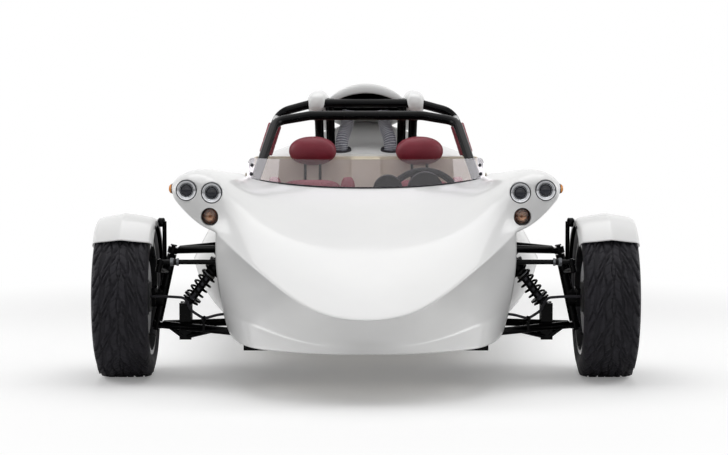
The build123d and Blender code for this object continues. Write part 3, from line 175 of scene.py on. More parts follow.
@dataclass(frozen=True)
class Finish:
    """A real material and how its surface was made.

    The tone is a second colour that the first drifts to, patch_mm is how wide the drifts are, and
    relief_mm and depth_mm are the spacing and height of the surface's own texture. The gloss is how
    strongly a surface that isn't metal mirrors its surroundings; a half is plain.
    """

    name: str
    colour: str
    tone: str
    surface: Surface
    roughness: float
    roughness_spread: float
    metallic: float = 0.0
    ior: float = 1.5
    gloss: float = 0.5
    coat: float = 0.0
    coat_roughness: float = 0.03
    sheen: float = 0.0
    patch_mm: float = 220.0
    relief_mm: float = 1.5
    depth_mm: float = 0.05
    transmission: float = 0.0

    def material(self) -> bpy.types.Material:
        """Builds the material, or returns it if it is already built.

        Returns:
            The material.
        """
        found = bpy.data.materials.get(self.name)
        if found:
            return found
        made = bpy.data.materials.new(self.name)
        tree = empty_tree(made)
        place = add_node(tree, "TexCoord", output="Object")
        wide = {"Vector": place, "Scale": 1000 / self.patch_mm, "Detail": 3.0, "Roughness": 0.5}
        patches = add_node(tree, "TexNoise", wide)
        drift = add_node(tree, "MapRange", {"Value": patches, "From Min": 0.3, "From Max": 0.7})
        low, high = self.roughness - self.roughness_spread, self.roughness + self.roughness_spread
        tones = {"Factor": drift, 6: hex_to_linear(self.colour), 7: hex_to_linear(self.tone)}
        inputs = {
            "Base Color": add_node(tree, "Mix", tones, 2, data_type="RGBA"),
            "Roughness": add_node(tree, "MapRange", {"Value": drift, "To Min": low, "To Max": high}),
            "Metallic": self.metallic,
            "IOR": self.ior,
            "Specular IOR Level": self.gloss,
            "Coat Weight": self.coat,
            "Coat Roughness": self.coat_roughness,
            "Sheen Weight": self.sheen,
            "Transmission Weight": self.transmission,
        }
        if self.surface is not Surface.POLISHED:
            inputs["Normal"] = self._relief(tree, place)
        add_node(tree, "OutputMaterial", {"Surface": add_node(tree, "BsdfPrincipled", inputs)})
        return made

    def _relief(self, tree: bpy.types.NodeTree, place: bpy.types.NodeSocket) -> bpy.types.NodeSocket:
        """Makes the surface's fine relief.

        Args:
            tree: The material's node tree.
            place: The point's position in metres.

        Returns:
            The bumped normal.
        """
        where = {"Vector": place, "Scale": 1000 / self.relief_mm}
        if self.surface is Surface.GRAINED:
            cells = add_node(tree, "TexVoronoi", where, feature="DISTANCE_TO_EDGE")
            height = add_node(tree, "MapRange", {"Value": cells, "From Max": 0.25})
        elif self.surface is Surface.BRUSHED:
            where["Vector"] = add_node(tree, "Mapping", {"Vector": place, "Scale": (0.08, 1.0, 1.0)})
            height = add_node(tree, "TexNoise", {**where, "Detail": 4.0})
        else:
            height = add_node(tree, "TexNoise", {**where, "Detail": 5.0})
        return add_node(tree, "Bump", {"Height": height, "Strength": 0.6, "Distance": self.depth_mm * MM})


# Pearl-white polyester gel coat on glass fibre: sprayed, flatted and lacquered, so it mirrors softly.
PEARL = Finish("gelcoat_pearl_white", "#E8E8E8", "#EFEFEE", Surface.SPRAYED, 0.34, 0.03,
               coat=0.55, coat_roughness=0.09, patch_mm=400, relief_mm=9.0, depth_mm=0.012)
# Baked epoxy powder on steel tube: a satin black skin with a faint orange peel.
POWDER = Finish("powder_coat_black", "#050506", "#0B0B0D", Surface.SPRAYED, 0.16, 0.04,
                gloss=0.09, patch_mm=90, relief_mm=3.0, depth_mm=0.008)
# Injection-moulded black ABS: even, fine-textured, dull.
ABS_BLACK = Finish("abs_moulded_black", "#070708", "#0C0C0E", Surface.MOULDED, 0.52, 0.06,
                   ior=1.53, gloss=0.14, patch_mm=120, relief_mm=1.2, depth_mm=0.05)
# Marine vinyl, vacuum-embossed with a fine hide grain, dark crimson.
VINYL_RED = Finish("vinyl_embossed_crimson", "#841B30", "#701226", Surface.GRAINED, 0.48, 0.07,
                   ior=1.53, sheen=0.05, patch_mm=160, relief_mm=2.4, depth_mm=0.12)
# Embossed vinyl trim in cream over board; the cream is painted lighter than the vinyl's own, as painted
# light standing in for the light the cockpit lacks.
VINYL_CREAM = Finish("vinyl_embossed_cream", "#F0E8D8", "#E6DDCA", Surface.GRAINED, 0.55, 0.06,
                     ior=1.53, patch_mm=180, relief_mm=2.6, depth_mm=0.1)
# Wire-reinforced silicone hose, extruded, mid grey.
HOSE_GREY = Finish("silicone_extruded_grey", "#777883", "#5F606B", Surface.MOULDED, 0.3, 0.06,
                   patch_mm=60, relief_mm=0.8, depth_mm=0.03)
# Galvanised spring wire, drawn: pale, with a dull sheen.
WIRE_STEEL = Finish("steel_wire_galvanised", "#D3D4DA", "#BCBDC4", Surface.BRUSHED, 0.3, 0.05,
                    gloss=0.6, patch_mm=8, relief_mm=0.6, depth_mm=0.01)
# Vulcanised tyre rubber: dark, dull, with a dry bloom in the grooves.
RUBBER = Finish("rubber_vulcanised_black", "#262529", "#302F34", Surface.MOULDED, 0.58, 0.08,
                ior=1.52, gloss=0.16, patch_mm=70, relief_mm=1.6, depth_mm=0.08)
# Cast aluminium wheel, painted satin black.
WHEEL_BLACK = Finish("cast_alloy_painted_black", "#0E0E10", "#17171A", Surface.SPRAYED, 0.3, 0.05,
                     coat=0.4, patch_mm=80, relief_mm=2.0, depth_mm=0.02)
# Ground grey iron and steel: brake discs with turned rings left by the pads, chain and sprocket.
DISC_IRON = Finish("iron_ground", "#8D8D90", "#6F6F74", Surface.BRUSHED, 0.33, 0.08,
                   metallic=1.0, patch_mm=40, relief_mm=1.2, depth_mm=0.03)
# Sand-cast iron, painted black and dusty.
CALIPER_IRON = Finish("iron_cast_dark", "#232325", "#303032", Surface.CAST, 0.5, 0.08,
                      metallic=0.3, patch_mm=30, relief_mm=1.5, depth_mm=0.2)
# Turned and clear-anodised aluminium: rear damper and wheel bolts.
ALLOY = Finish("aluminium_anodised", "#B9BBBE", "#A2A4A8", Surface.BRUSHED, 0.3, 0.06,
               metallic=1.0, patch_mm=50, relief_mm=0.9, depth_mm=0.02)
# Sand-cast aluminium, grey and slightly oily: engine cases, damper collars and lock nuts.
CASE_ALLOY = Finish("aluminium_sand_cast", "#77797C", "#626468", Surface.CAST, 0.48, 0.1,
                    metallic=0.85, patch_mm=60, relief_mm=2.0, depth_mm=0.2)
# Brushed stainless steel of the silencers.
STAINLESS = Finish("stainless_brushed", "#B4B2AE", "#9D9A95", Surface.BRUSHED, 0.28, 0.07,
                   metallic=1.0, patch_mm=90, relief_mm=0.9, depth_mm=0.02)
# Chromed brass of the lamp rims.
CHROME = Finish("chrome_plated", "#D8D9DB", "#CFD0D3", Surface.POLISHED, 0.07, 0.02,
                metallic=1.0, patch_mm=60)
# Clear acrylic, cast and polished.
ACRYLIC = Finish("acrylic_clear", "#F2F6F5", "#EEF3F2", Surface.POLISHED, 0.03, 0.01,
                 ior=1.49, transmission=1.0, patch_mm=300)
# Amber polycarbonate lens, moulded.
AMBER = Finish("polycarbonate_amber", "#E89428", "#D9831C", Surface.MOULDED, 0.14, 0.03,
               ior=1.58, patch_mm=20, relief_mm=1.5, depth_mm=0.1)
# Red polycarbonate lens, moulded.
LENS_RED = Finish("polycarbonate_red", "#9E0C12", "#86070D", Surface.MOULDED, 0.14, 0.03,
                  ior=1.58, patch_mm=20, relief_mm=3.0, depth_mm=0.2)
# Vapour-black moulded lamp body: dull and very dark.
LAMP_BLACK = Finish("abs_lamp_housing_black", "#08080A", "#0F0F12", Surface.MOULDED, 0.34, 0.05,
                    ior=1.53, gloss=0.2, patch_mm=20, relief_mm=0.8, depth_mm=0.02)
# Satin chrome on zinc: the soft bright rings inside a lamp.
SATIN_CHROME = Finish("chrome_satin", "#C9CACD", "#B7B9BD", Surface.BRUSHED, 0.22, 0.04,
                      metallic=1.0, patch_mm=15, relief_mm=0.8, depth_mm=0.01)
# Dark coated projector lens glass, ground and polished.
LENS_GLASS = Finish("glass_projector_coated", "#12141F", "#1D2130", Surface.POLISHED, 0.04, 0.01,
                    ior=1.5, patch_mm=16)
# Black chrome: a dark mirror ring round each headlamp and down its bore; a gasket in part, and in part
# painted shade for the shadow round the sunk bezel.
DARK_CHROME = Finish("chrome_black", "#4A4B4F", "#404146", Surface.POLISHED, 0.2, 0.03,
                     metallic=1.0, patch_mm=12)
# Aluminised reflector with a painted warm cast that stands in for glow from the bulb.
REFLECTOR_WARM = Finish("reflector_aluminised_warm", "#E8C9B0", "#C9A287", Surface.POLISHED, 0.24, 0.04,
                        metallic=1.0, patch_mm=12)
# Fluted pressed lamp glass with a faint smoke tint.
GLASS_SMOKE = Finish("glass_pressed_smoke", "#D8CEC6", "#CFC3BA", Surface.POLISHED, 0.05, 0.01,
                     ior=1.52, transmission=1.0, patch_mm=20)
# Cast acrylic screen, bent hot over a mould, with a faint violet-grey tint.
SCREEN_ACRYLIC = Finish("acrylic_screen_tinted", "#EFEBF2", "#E9E4ED", Surface.POLISHED, 0.03, 0.01,
                        ior=1.49, gloss=0.3, transmission=1.0, patch_mm=300)
# Blackened steel, turned: screws, bolts and damper rods.
DARK_STEEL = Finish("steel_blackened", "#3A3A3E", "#2C2C30", Surface.BRUSHED, 0.3, 0.05,
                    metallic=1.0, patch_mm=10, relief_mm=0.6, depth_mm=0.01)

NODE_FINISHES: dict[Finish, tuple[str, ...]] = {
    PEARL: (
        "nose_body", "side_bodies", "rear_body", "air_scoop", "hoop_fairings", "tail_body", "fender_l",
        "fender_r",
    ),
    POWDER: (
        "roll_cage", "floor_frame", "front_frames", "engine_frame", "upper_arms", "lower_arms", "swingarm",
        "pedals", "headrest_posts", "knuckle_l", "knuckle_r", "front_springs", "spring_rear", "tie_rod_l",
        "tie_rod_r",
    ),
    DARK_STEEL: ("front_shocks",),
    VINYL_CREAM: ("cockpit_tub",),
    VINYL_RED: ("seats", "headrests", "hoop_pads"),
    ABS_BLACK: ("dash", "gear_lever", "steering_wheel"),
    ACRYLIC: ("windscreen", "headlamp_lenses"),
    CHROME: ("headlamps",),
    AMBER: ("fog_lamps", "side_markers"),
    LENS_RED: ("tail_lamps",),
    ALLOY: ("shock_rear",),
    HOSE_GREY: ("intake_ducts",),
    RUBBER: ("tyre_l", "tyre_r", "tyre_rear", "brake_hose_l", "brake_hose_r"),
    WHEEL_BLACK: ("rim_l", "rim_r", "rim_rear"),
    DISC_IRON: ("disc_l", "disc_r", "disc_rear", "sprocket_rear", "chain"),
    CALIPER_IRON: ("caliper_l", "caliper_r"),
    CASE_ALLOY: ("engine",),
    STAINLESS: ("exhaust",),
}


def dress_nodes() -> None:
    """Gives every CAD node its finish."""
    for finish, names in NODE_FINISHES.items():
        for name in names:
            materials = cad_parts[name].data.materials
            materials.clear()
            materials.append(finish.material())


# ---- mesh helpers ------------------------------------------------------------------------
def make_object(name: str, points: list[Place], faces: list[Face], finish: Finish) -> bpy.types.Object:
    """Makes a smooth-shaded mesh object in the scene.

    Args:
        name: The piece's name.
        points: Its points in millimetres.
        faces: Its faces, by point number.
        finish: The finish it is given.

    Returns:
        The new object.
    """
    mesh = bpy.data.meshes.new(name)
    mesh.from_pydata([Vector(p) * MM for p in points], [], faces)
    mesh.materials.append(finish.material())
    for face in mesh.polygons:
        face.use_smooth = True
    piece = bpy.data.objects.new(name, mesh)
    bpy.context.scene.collection.objects.link(piece)
    return piece


def quads(rows: int, columns: int, start: int = 0, loop: bool = False, ring: bool = True) -> list[Face]:
    """Joins rows of points into four-sided faces.

    Args:
        rows: How many rows there are.
        columns: How many points a row has.
        start: The number of the first point.
        loop: Whether the last row joins the first.
        ring: Whether the last point of a row joins its first.

    Returns:
        The faces.
    """
    faces = []
    for i in range(rows if loop else rows - 1):
        low = start + i * columns
        high = start + (i + 1) % rows * columns
        for k in range(columns if ring else columns - 1):
            m = (k + 1) % columns
            faces.append((low + k, low + m, high + m, high + k))
    return faces


def row_cap(row: int, columns: int) -> Face:
    """Closes one row of points with a single face."""
    return tuple(range(row * columns, (row + 1) * columns))


@contextmanager
def editing(piece: bpy.types.Object) -> Iterator[bmesh.types.BMesh]:
    """Opens a piece's mesh for editing and writes it back.

    Args:
        piece: The piece.

    Yields:
        The open mesh.
    """
    work = bmesh.new()
    work.from_mesh(piece.data)
    yield work
    work.to_mesh(piece.data)
    work.free()


def tidy_mesh(piece: bpy.types.Object, weld_mm: float = 0.05) -> None:
    """Welds points that are nearer than weld_mm and turns every face outwards.

    Args:
        piece: The piece.
        weld_mm: Points nearer than this become one.
    """
    with editing(piece) as work:
        bmesh.ops.remove_doubles(work, verts=work.verts, dist=weld_mm * MM)
        bmesh.ops.recalc_face_normals(work, faces=work.faces)


def set_edges(piece: bpy.types.Object, sharp_deg: float = 32.0) -> None:
    """Keeps the edges that turn by more than sharp_deg crisp under smooth shading.

    Args:
        piece: The piece.
        sharp_deg: Edges that turn by more than this stay crisp.
    """
    with editing(piece) as work:
        for face in work.faces:
            face.smooth = True
        for edge in work.edges:
            if len(edge.link_faces) == 2:
                edge.smooth = edge.calc_face_angle(0.0) < radians(sharp_deg)


def add_modifier(piece: bpy.types.Object, kind: str, **settings: object) -> None:
    """Adds a modifier to a piece and sets it.

    Args:
        piece: The piece.
        kind: The modifier's type.
        settings: Properties of the modifier, by name.
    """
    made = piece.modifiers.new(kind, kind)
    for name, value in settings.items():
        setattr(made, name, value)


def apply_modifiers(piece: bpy.types.Object) -> None:
    """Makes the result of the piece's modifiers its own mesh.

    Args:
        piece: The piece.
    """
    graph = bpy.context.evaluated_depsgraph_get()
    made = bpy.data.meshes.new_from_object(piece.evaluated_get(graph))
    old = piece.data
    piece.modifiers.clear()
    piece.data = made
    bpy.data.meshes.remove(old)


def join_pieces(name: str, parts: list[bpy.types.Object]) -> bpy.types.Object:
    """Joins several objects into one piece.

    Args:
        name: The joined piece's name.
        parts: The objects to join.

    Returns:
        The joined object.
    """
    bpy.ops.object.select_all(action="DESELECT")
    for part in parts:
        part.select_set(True)
    bpy.context.view_layer.objects.active = parts[0]
    bpy.ops.object.join()
    parts[0].name = name
    return parts[0]


def place(piece: bpy.types.Object, body: str, *nodes: str) -> None:
    """Lets a piece ride on a body, in place of the nodes that it stands for.

    Args:
        piece: The finished piece.
        body: The body that carries it.
        nodes: The nodes that it covers.
    """
    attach(piece, body)
    if nodes:
        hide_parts(*nodes)
    log.info("%s: %d faces on %s", piece.name, len(piece.data.polygons), body)


def bar(start: Place, end: Place, radius: float, finish: Finish, sides: int = 48) -> bpy.types.Object:
    """Makes a closed round bar between two points.

    Args:
        start: One end, in millimetres.
        end: The other end.
        radius: Its radius.
        finish: Its finish.
        sides: How many flats make it round.

    Returns:
        The bar.
    """
    a, b = Vector(start), Vector(end)
    turn = (b - a).to_track_quat("Z", "Y")
    points = []
    for end_point in (a, b):
        for i in range(sides):
            angle = tau * i / sides
            points.append(end_point + turn @ Vector((radius * cos(angle), radius * sin(angle), 0)))
    faces = [*quads(2, sides), row_cap(0, sides)[::-1], row_cap(1, sides)]
    return make_object("bar", points, faces, finish)


def turned(
    name: str, centre: Place, axis: Place, profile: Section, finish: Finish, sides: int
) -> bpy.types.Object:
    """Makes a solid of revolution.

    Args:
        name: The object's name.
        centre: Where its axis starts, in millimetres.
        axis: The direction the axis runs in.
        profile: (along, radius) points; an end with no radius is closed by a point.
        finish: Its finish.
        sides: Steps round the axis.

    Returns:
        The solid.
    """
    turn = Vector(axis).to_track_quat("Z", "Y")
    points: list[Vector] = []
    rows: list[list[int]] = []
    for along, radius in profile:
        steps = sides if radius > 0 else 1
        rows.append(list(range(len(points), len(points) + steps)))
        for i in range(steps):
            angle = tau * i / sides
            spoke = Vector((radius * cos(angle), radius * sin(angle), along))
            points.append(Vector(centre) + turn @ spoke)
    faces: list[Face] = []
    for low, high in zip(rows, rows[1:]):
        for i in range(sides):
            j = (i + 1) % sides
            corners = [low[i % len(low)], low[j % len(low)], high[j % len(high)], high[i % len(high)]]
            faces.append(tuple(dict.fromkeys(corners)))
    piece = make_object(name, points, faces, finish)
    tidy_mesh(piece)
    return piece


def bent_route(points: list[Vector], bend: float, step: float) -> list[Vector]:
    """Rounds the corners of a route.

    Args:
        points: The corner points, in millimetres.
        bend: How far before and after a corner the rounding reaches at most.
        step: The spacing of the points that come out.

    Returns:
        Closely spaced points along the rounded route.
    """
    runs: list[tuple[Vector, Vector, Vector]] = []
    last = points[0]
    for before, here, after in zip(points, points[1:], points[2:]):
        reach = min(bend, 0.48 * (here - before).length, 0.48 * (after - here).length)
        enter = here + (before - here).normalized() * reach
        leave = here + (after - here).normalized() * reach
        runs += [(last, (last + enter) / 2, enter), (enter, here, leave)]
        last = leave
    runs.append((last, (last + points[-1]) / 2, points[-1]))
    route = [points[0]]
    for a, b, c in runs:
        count = max(1, round(((b - a).length + (c - b).length) / step))
        for i in range(1, count + 1):
            t = i / count
            route.append(a * (1 - t) ** 2 + b * 2 * t * (1 - t) + c * t**2)
    return route


def swept(
    name: str,
    route: list[Vector],
    radius: float,
    finish: Finish,
    sides: int,
    wave: float = 0.0,
    wave_mm: float = 6.0,
    closed: bool = False,
) -> bpy.types.Object:
    """Makes a round tube along a route, plain or ribbed.

    Args:
        name: The object's name.
        route: Points along the tube's centre, in millimetres.
        radius: The tube's radius.
        finish: Its finish.
        sides: Flats round the tube.
        wave: How far its ribs stand out from its middle radius, to each side.
        wave_mm: The distance from one rib to the next.
        closed: Whether the route is a loop.

    Returns:
        The tube.
    """
    points: list[Vector] = []
    side = (route[1] - route[0]).normalized().orthogonal().normalized()
    travelled = 0.0
    count = len(route)
    for i, here in enumerate(route):
        following = route[(i + 1) % count] if closed or i + 1 < count else here
        previous = route[i - 1] if closed or i > 0 else here
        direction = (following - previous).normalized()
        side = (side - direction * side.dot(direction)).normalized()
        up = direction.cross(side)
        travelled += (here - previous).length if i else 0.0
        reach = radius + wave * cos(tau * travelled / wave_mm)
        for k in range(sides):
            angle = tau * k / sides
            points.append(here + side * (reach * cos(angle)) + up * (reach * sin(angle)))
    faces = quads(count, sides, loop=closed)
    if not closed:
        faces += [row_cap(0, sides)[::-1], row_cap(count - 1, sides)]
    piece = make_object(name, points, faces, finish)
    tidy_mesh(piece, 0.001)
    return piece


# ---- front bodywork ----------------------------------------------------------------------
@dataclass
class Fairing:
    """The one-piece front shell: hood, beak, chin and the two lamp pods, as one smooth surface.

    Half of it is three sheets of quads. The mask runs from the windscreen's foot down to the crease
    of the beak and out over the pod. The chin hangs below the crease. The pod back closes the pod
    behind its lower edge. Sizes are millimetres.
    """

    shell_t: float = 5.0
    # (across, height, radius) of each lamp hole
    lamps: tuple[tuple[float, float, float], ...] = ((653, 701, 38.6), (561, 692, 38.6), (567, 606, 32.6))
    bore_front_y: float = -1200.0
    bore_back_y: float = -1010.0
    subdivisions: int = 4
    pod_belly: float = 16.0
    # Rows from the windscreen's foot down to the crease, each from the middle outwards (x, y, z).
    mask: tuple[tuple[Point, ...], ...] = (
        ((0, -622, 681), (150, -604, 683), (290, -552, 690), (398, -494, 701), (462, -446, 714),
         (494, -440, 736), (522, -454, 731), (550, -466, 700), (554, -470, 668)),
        ((0, -770, 648), (135, -758, 650), (270, -718, 662), (380, -676, 684), (460, -672, 712),
         (524, -690, 744), (584, -700, 764), (644, -700, 750), (677, -700, 700)),
        ((0, -940, 600), (130, -925, 604), (258, -898, 618), (366, -885, 645), (452, -900, 694),
         (526, -932, 752), (604, -960, 784), (681, -962, 768), (728, -962, 714)),
        ((0, -1140, 540), (130, -1112, 557), (260, -1072, 583), (364, -1040, 614), (448, -1040, 654),
         (512, -1066, 718), (600, -1082, 764), (684, -1070, 748), (728, -1030, 712)),
        ((0, -1330, 470), (130, -1292, 500), (245, -1250, 534), (350, -1195, 572), (442, -1140, 614),
         (510, -1108, 660), (600, -1096, 690), (676, -1088, 700), (727, -1046, 704)),
        ((0, -1555, 388), (135, -1508, 408), (250, -1440, 450), (352, -1350, 498), (446, -1240, 548),
         (522, -1128, 598), (596, -1100, 622), (662, -1090, 662), (722, -1056, 698)),
        ((0, -1748, 296), (139, -1700, 309), (238, -1620, 351), (340, -1500, 418), (449, -1330, 486),
         (543, -1140, 550), (600, -1096, 566), (662, -1084, 622), (718, -1062, 690)),
    )
    # Rows below the crease, from the middle out to the front edge of the wheel arch.
    chin: tuple[tuple[Point, ...], ...] = (
        ((0, -1722, 268), (138, -1664, 280), (240, -1580, 315), (342, -1450, 370), (446, -1290, 430),
         (546, -1142, 480)),
        ((0, -1694, 232), (136, -1630, 238), (240, -1545, 255), (342, -1425, 292), (440, -1290, 335),
         (540, -1142, 380)),
        ((0, -1690, 204), (138, -1632, 202), (240, -1548, 208), (342, -1440, 228), (434, -1330, 252),
         (520, -1142, 276)),
        ((0, -1694, 182), (140, -1656, 179), (248, -1592, 177), (350, -1520, 176), (436, -1430, 176),
         (500, -1142, 178)),
    )
    # The wheel arch's upper edge, from its front corner back to the cockpit's side.
    arch_edge: tuple[Point, ...] = (
        (552, -1060, 552), (556, -960, 560), (554, -860, 575), (546, -760, 594), (534, -640, 622),
        (518, -470, 655),
    )

    def build(self) -> None:
        """Builds the shell in place of the nose: mirrored, rounded off, thickened and bored."""
        shell = self._cage()
        add_modifier(shell, "MIRROR", use_clip=True)
        add_modifier(shell, "SUBSURF", levels=self.subdivisions)
        apply_modifiers(shell)
        tidy_mesh(shell)
        add_modifier(shell, "SOLIDIFY", thickness=self.shell_t * MM, offset=-1, use_even_offset=True)
        apply_modifiers(shell)
        self._bore_lamps(shell)
        place(shell, "chassis", "nose_body")

    def _cage(self) -> bpy.types.Object:
        """Joins the three sheets into half a cage with its sharp edges marked.

        Returns:
            The half cage.
        """
        crease = self.mask[-1]
        corner = len(self.chin[0])
        sheets = (self.mask, (crease[:corner], *self.chin), self._pod_back())
        number: dict[Point, int] = {}
        faces: list[Face] = []
        for rows in sheets:
            for upper, lower in zip(rows, rows[1:]):
                for i in range(len(upper) - 1):
                    quad = (upper[i], lower[i], lower[i + 1], upper[i + 1])
                    faces.append(tuple(number.setdefault(point, len(number)) for point in quad))
        cage = make_object("nose_fairing", list(number), faces, PEARL)
        # the beak's crease, its run under the pod, the soft V and the chin's lip
        sharp = {}
        for row, sharpness in (
            (crease[:corner], 0.86),
            (crease[corner - 1 :], 0.35),
            (self.mask[4][:5], 0.1),
            (self.chin[2][1:], 0.6),
        ):
            for a, b in zip(row, row[1:]):
                sharp[frozenset((number[a], number[b]))] = sharpness
        marks = cage.data.attributes.new("crease_edge", "FLOAT", "EDGE")
        for edge in cage.data.edges:
            marks.data[edge.index].value = sharp.get(frozenset(edge.vertices), 0.0)
        return cage

    def _pod_back(self) -> list[tuple[Point, ...]]:
        """Fills the pod's back between its lower edge, its outer edge and the wheel arch.

        Returns:
            Rows of points from the pod's lower edge back to the cockpit's side.
        """
        front = self.mask[-1][len(self.chin[0]) - 1 :]
        outer = [row[-1] for row in reversed(self.mask)][1:]
        count = len(front) - 1
        rows = [front]
        for low, high in zip(self.arch_edge, outer):
            row = [low]
            for k in range(1, count):
                middle = Vector(low).lerp(Vector(high), k / count)
                middle.z -= self.pod_belly * sin(pi * k / count)
                row.append(tuple(middle))
            rows.append((*row, high))
        return rows

    def _bore_lamps(self, shell: bpy.types.Object) -> None:
        """Bores the six lamp holes.

        Args:
            shell: The thick shell.
        """
        bores = []
        for x, z, radius in self.lamps:
            for side, _ in SIDES[::-1]:
                ends = (side * x, self.bore_front_y, z), (side * x, self.bore_back_y, z)
                bores.append(bar(*ends, radius, PEARL))
                add_modifier(shell, "BOOLEAN", operation="DIFFERENCE", solver="EXACT", object=bores[-1])
        apply_modifiers(shell)
        for bore in bores:
            bpy.data.objects.remove(bore)


# ---- wheels ------------------------------------------------------------------------------
def step_share(value: float, width: float) -> float:
    """Rises from 0 to 1 while the value goes from nought to the width."""
    return min(1.0, max(0.0, value / width))


def from_whole(value: float) -> float:
    """Gives how far a value lies from the nearest whole number."""
    return min(value % 1.0, 1.0 - value % 1.0)


@dataclass
class Tyre:
    """A road tyre with a directional tread of flame-shaped blocks cut deep into its crown.

    The crown is a grid of cells round the tyre. Its height at each point follows a groove pattern
    that is worked out from that point's place across and round the tread. Sizes are millimetres.
    """

    node: str
    body: str
    centre: Place
    radius: float
    width: float
    rim_r: float
    pitches: int
    steps_round: int = 720
    steps_across: int = 64
    tread_depth: float = 8.0
    crown_inset: float = 10.0
    cut_from_top: float = 30.0
    shoulder_drop: float = 7.0
    flame_sweep: float = 1.55
    flame_wave: float = 0.16
    line_wave: float = 0.045
    sipes_a_pitch: int = 4
    sipe_depth: float = 0.4
    # share of the pitch where a flame groove runs, its half width, where it starts and ends across
    flames: tuple[tuple[float, float, float, float], ...] = (
        (0.0, 0.1, 0.08, 1.1), (0.36, 0.08, 0.30, 1.1), (0.66, 0.08, 0.02, 0.62),
    )
    # share across where a groove round the tyre runs and its half width
    lines: tuple[tuple[float, float], ...] = ((0.03, 0.026), (0.33, 0.046), (0.70, 0.042))

    def build(self) -> None:
        """Builds the tread, the two side walls and the bead in one closed skin."""
        outline = self._outline()
        points = []
        for i in range(self.steps_round):
            angle = tau * i / self.steps_round
            for x, r in outline:
                r -= self._groove(x, angle) if r > self.radius - self.cut_from_top else 0.0
                points.append(Vector(self.centre) + Vector((x, r * sin(angle), r * cos(angle))))
        faces = quads(self.steps_round, len(outline), loop=True)
        tyre = make_object(f"{self.node}_tread", points, faces, RUBBER)
        tidy_mesh(tyre)
        place(tyre, self.body, self.node)

    def _outline(self) -> Section:
        """Gives (across, radius) points from one bead over the crown to the other and back inside.

        Returns:
            (across, radius) points.
        """
        half, top, rim = self.width / 2, self.radius, self.rim_r
        wall = [
            (-half + 16, rim + 1), (-half + 14, rim + 10), (-half + 5, rim + 22), (-half + 0.8, rim + 36),
            (-half + 0.8, rim + 44), (-half + 2, rim + 46), (-half + 1, top - 42), (-half + 4.5, top - 27),
        ]
        crown = []
        for k in range(self.steps_across + 1):
            share = 2 * k / self.steps_across - 1
            drop = self.shoulder_drop * max(0.0, (abs(share) - 0.62) / 0.38) ** 1.7
            crown.append((share * (half - self.crown_inset), top - 0.4 - drop))
        inside = [(half - 26, rim + 1), (-half + 26, rim + 1)]
        return wall + crown + [(-x, r) for x, r in reversed(wall)] + inside

    def _groove(self, x: float, angle: float) -> float:
        """Works out how deep the tread is cut at a place across the tyre and an angle round it.

        Args:
            x: The place across the tyre.
            angle: The angle round it.

        Returns:
            The depth in millimetres.
        """
        across = abs(x) / (self.width / 2 - self.crown_inset)
        sign = 1 if x > 0 else -1
        phase = angle * self.pitches / tau + (0.5 if x > 0 else 0.0)
        sweep = self.flame_sweep * across**1.35
        wave = self.flame_wave * sin(tau * (phase + across * 1.1))
        depth = 0.0
        for offset, wide, low, high in self.flames:
            gap = from_whole(phase + sweep + wave + offset)
            reach = step_share(across - low, 0.12) * step_share(high - across, 0.10)
            depth = max(depth, step_share(wide - gap, 0.02) * reach)
        bend = self.line_wave * sin(tau * (phase + 0.25 * sign))
        for line, wide in self.lines:
            depth = max(depth, step_share(wide - abs(across - line - bend), 0.012))
        sipe = step_share(0.07 - from_whole(phase * self.sipes_a_pitch + 2.2 * across), 0.05)
        return self.tread_depth * max(depth, sipe * self.sipe_depth)


@dataclass
class FrontHub(SidePart):
    """The dished front of a road wheel: bolts, cap and the rolled lip of its rim."""

    wheel: Point
    rim_r: float
    width: float
    face_x: float = 17.0
    bolts: int = 5
    bolt_circle: float = 52.0
    bolt_r: float = 9.5
    bolt_len: float = 9.0
    cap_r: float = 27.0
    cap_len: float = 12.0
    lip_inset: float = 10.5
    lip_over_rim: float = 5.5
    lip_r: float = 3.2
    lip_steps: int = 12

    def build(self) -> None:
        """Builds the bolts, the centre cap and the lip."""
        x, y, z = self.wheel
        face = x + self.face_x
        parts = []
        for i in range(self.bolts):
            angle = tau * (i + 0.5) / self.bolts
            at_y, at_z = y + self.bolt_circle * sin(angle), z + self.bolt_circle * cos(angle)
            ends = self.at((face, at_y, at_z)), self.at((face + self.bolt_len, at_y, at_z))
            parts.append(bar(*ends, self.bolt_r, ALLOY, 6))
        ends = self.at((face, y, z)), self.at((face + self.cap_len, y, z))
        parts.append(bar(*ends, self.cap_r, WHEEL_BLACK))
        profile = []
        for k in range(self.lip_steps + 1):
            angle = tau * k / self.lip_steps
            radius = self.rim_r + self.lip_over_rim + self.lip_r * cos(angle)
            profile.append((self.lip_r * sin(angle), radius))
        edge = self.at((x + self.width / 2 - self.lip_inset, y, z))
        parts.append(turned("lip", edge, (1, 0, 0), profile, WHEEL_BLACK, 96))
        place(join_pieces(f"hub_fittings_{self.letter}", parts), f"wheel_{self.letter}")


@dataclass
class Wheels:
    """All three wheels with their tyres."""

    front_centre: Point = (887, -950, 296)
    front_radius: float = 296
    front_width: float = 205
    front_rim_r: float = 203
    rear_centre: Point = (0, 1336, 332)
    rear_radius: float = 332
    rear_width: float = 295
    rear_rim_r: float = 229

    def build(self) -> None:
        """Builds the tyres and the fittings of the wheels."""
        for side, letter in SIDES:
            hub = FrontHub(side, letter, self.front_centre, self.front_rim_r, self.front_width)
            sizes = (self.front_radius, self.front_width, self.front_rim_r)
            Tyre(f"tyre_{letter}", f"wheel_{letter}", hub.at(hub.wheel), *sizes, pitches=14).build()
            hub.build()
        sizes = (self.rear_radius, self.rear_width, self.rear_rim_r)
        Tyre("tyre_rear", "wheel_rear", self.rear_centre, *sizes, pitches=16).build()


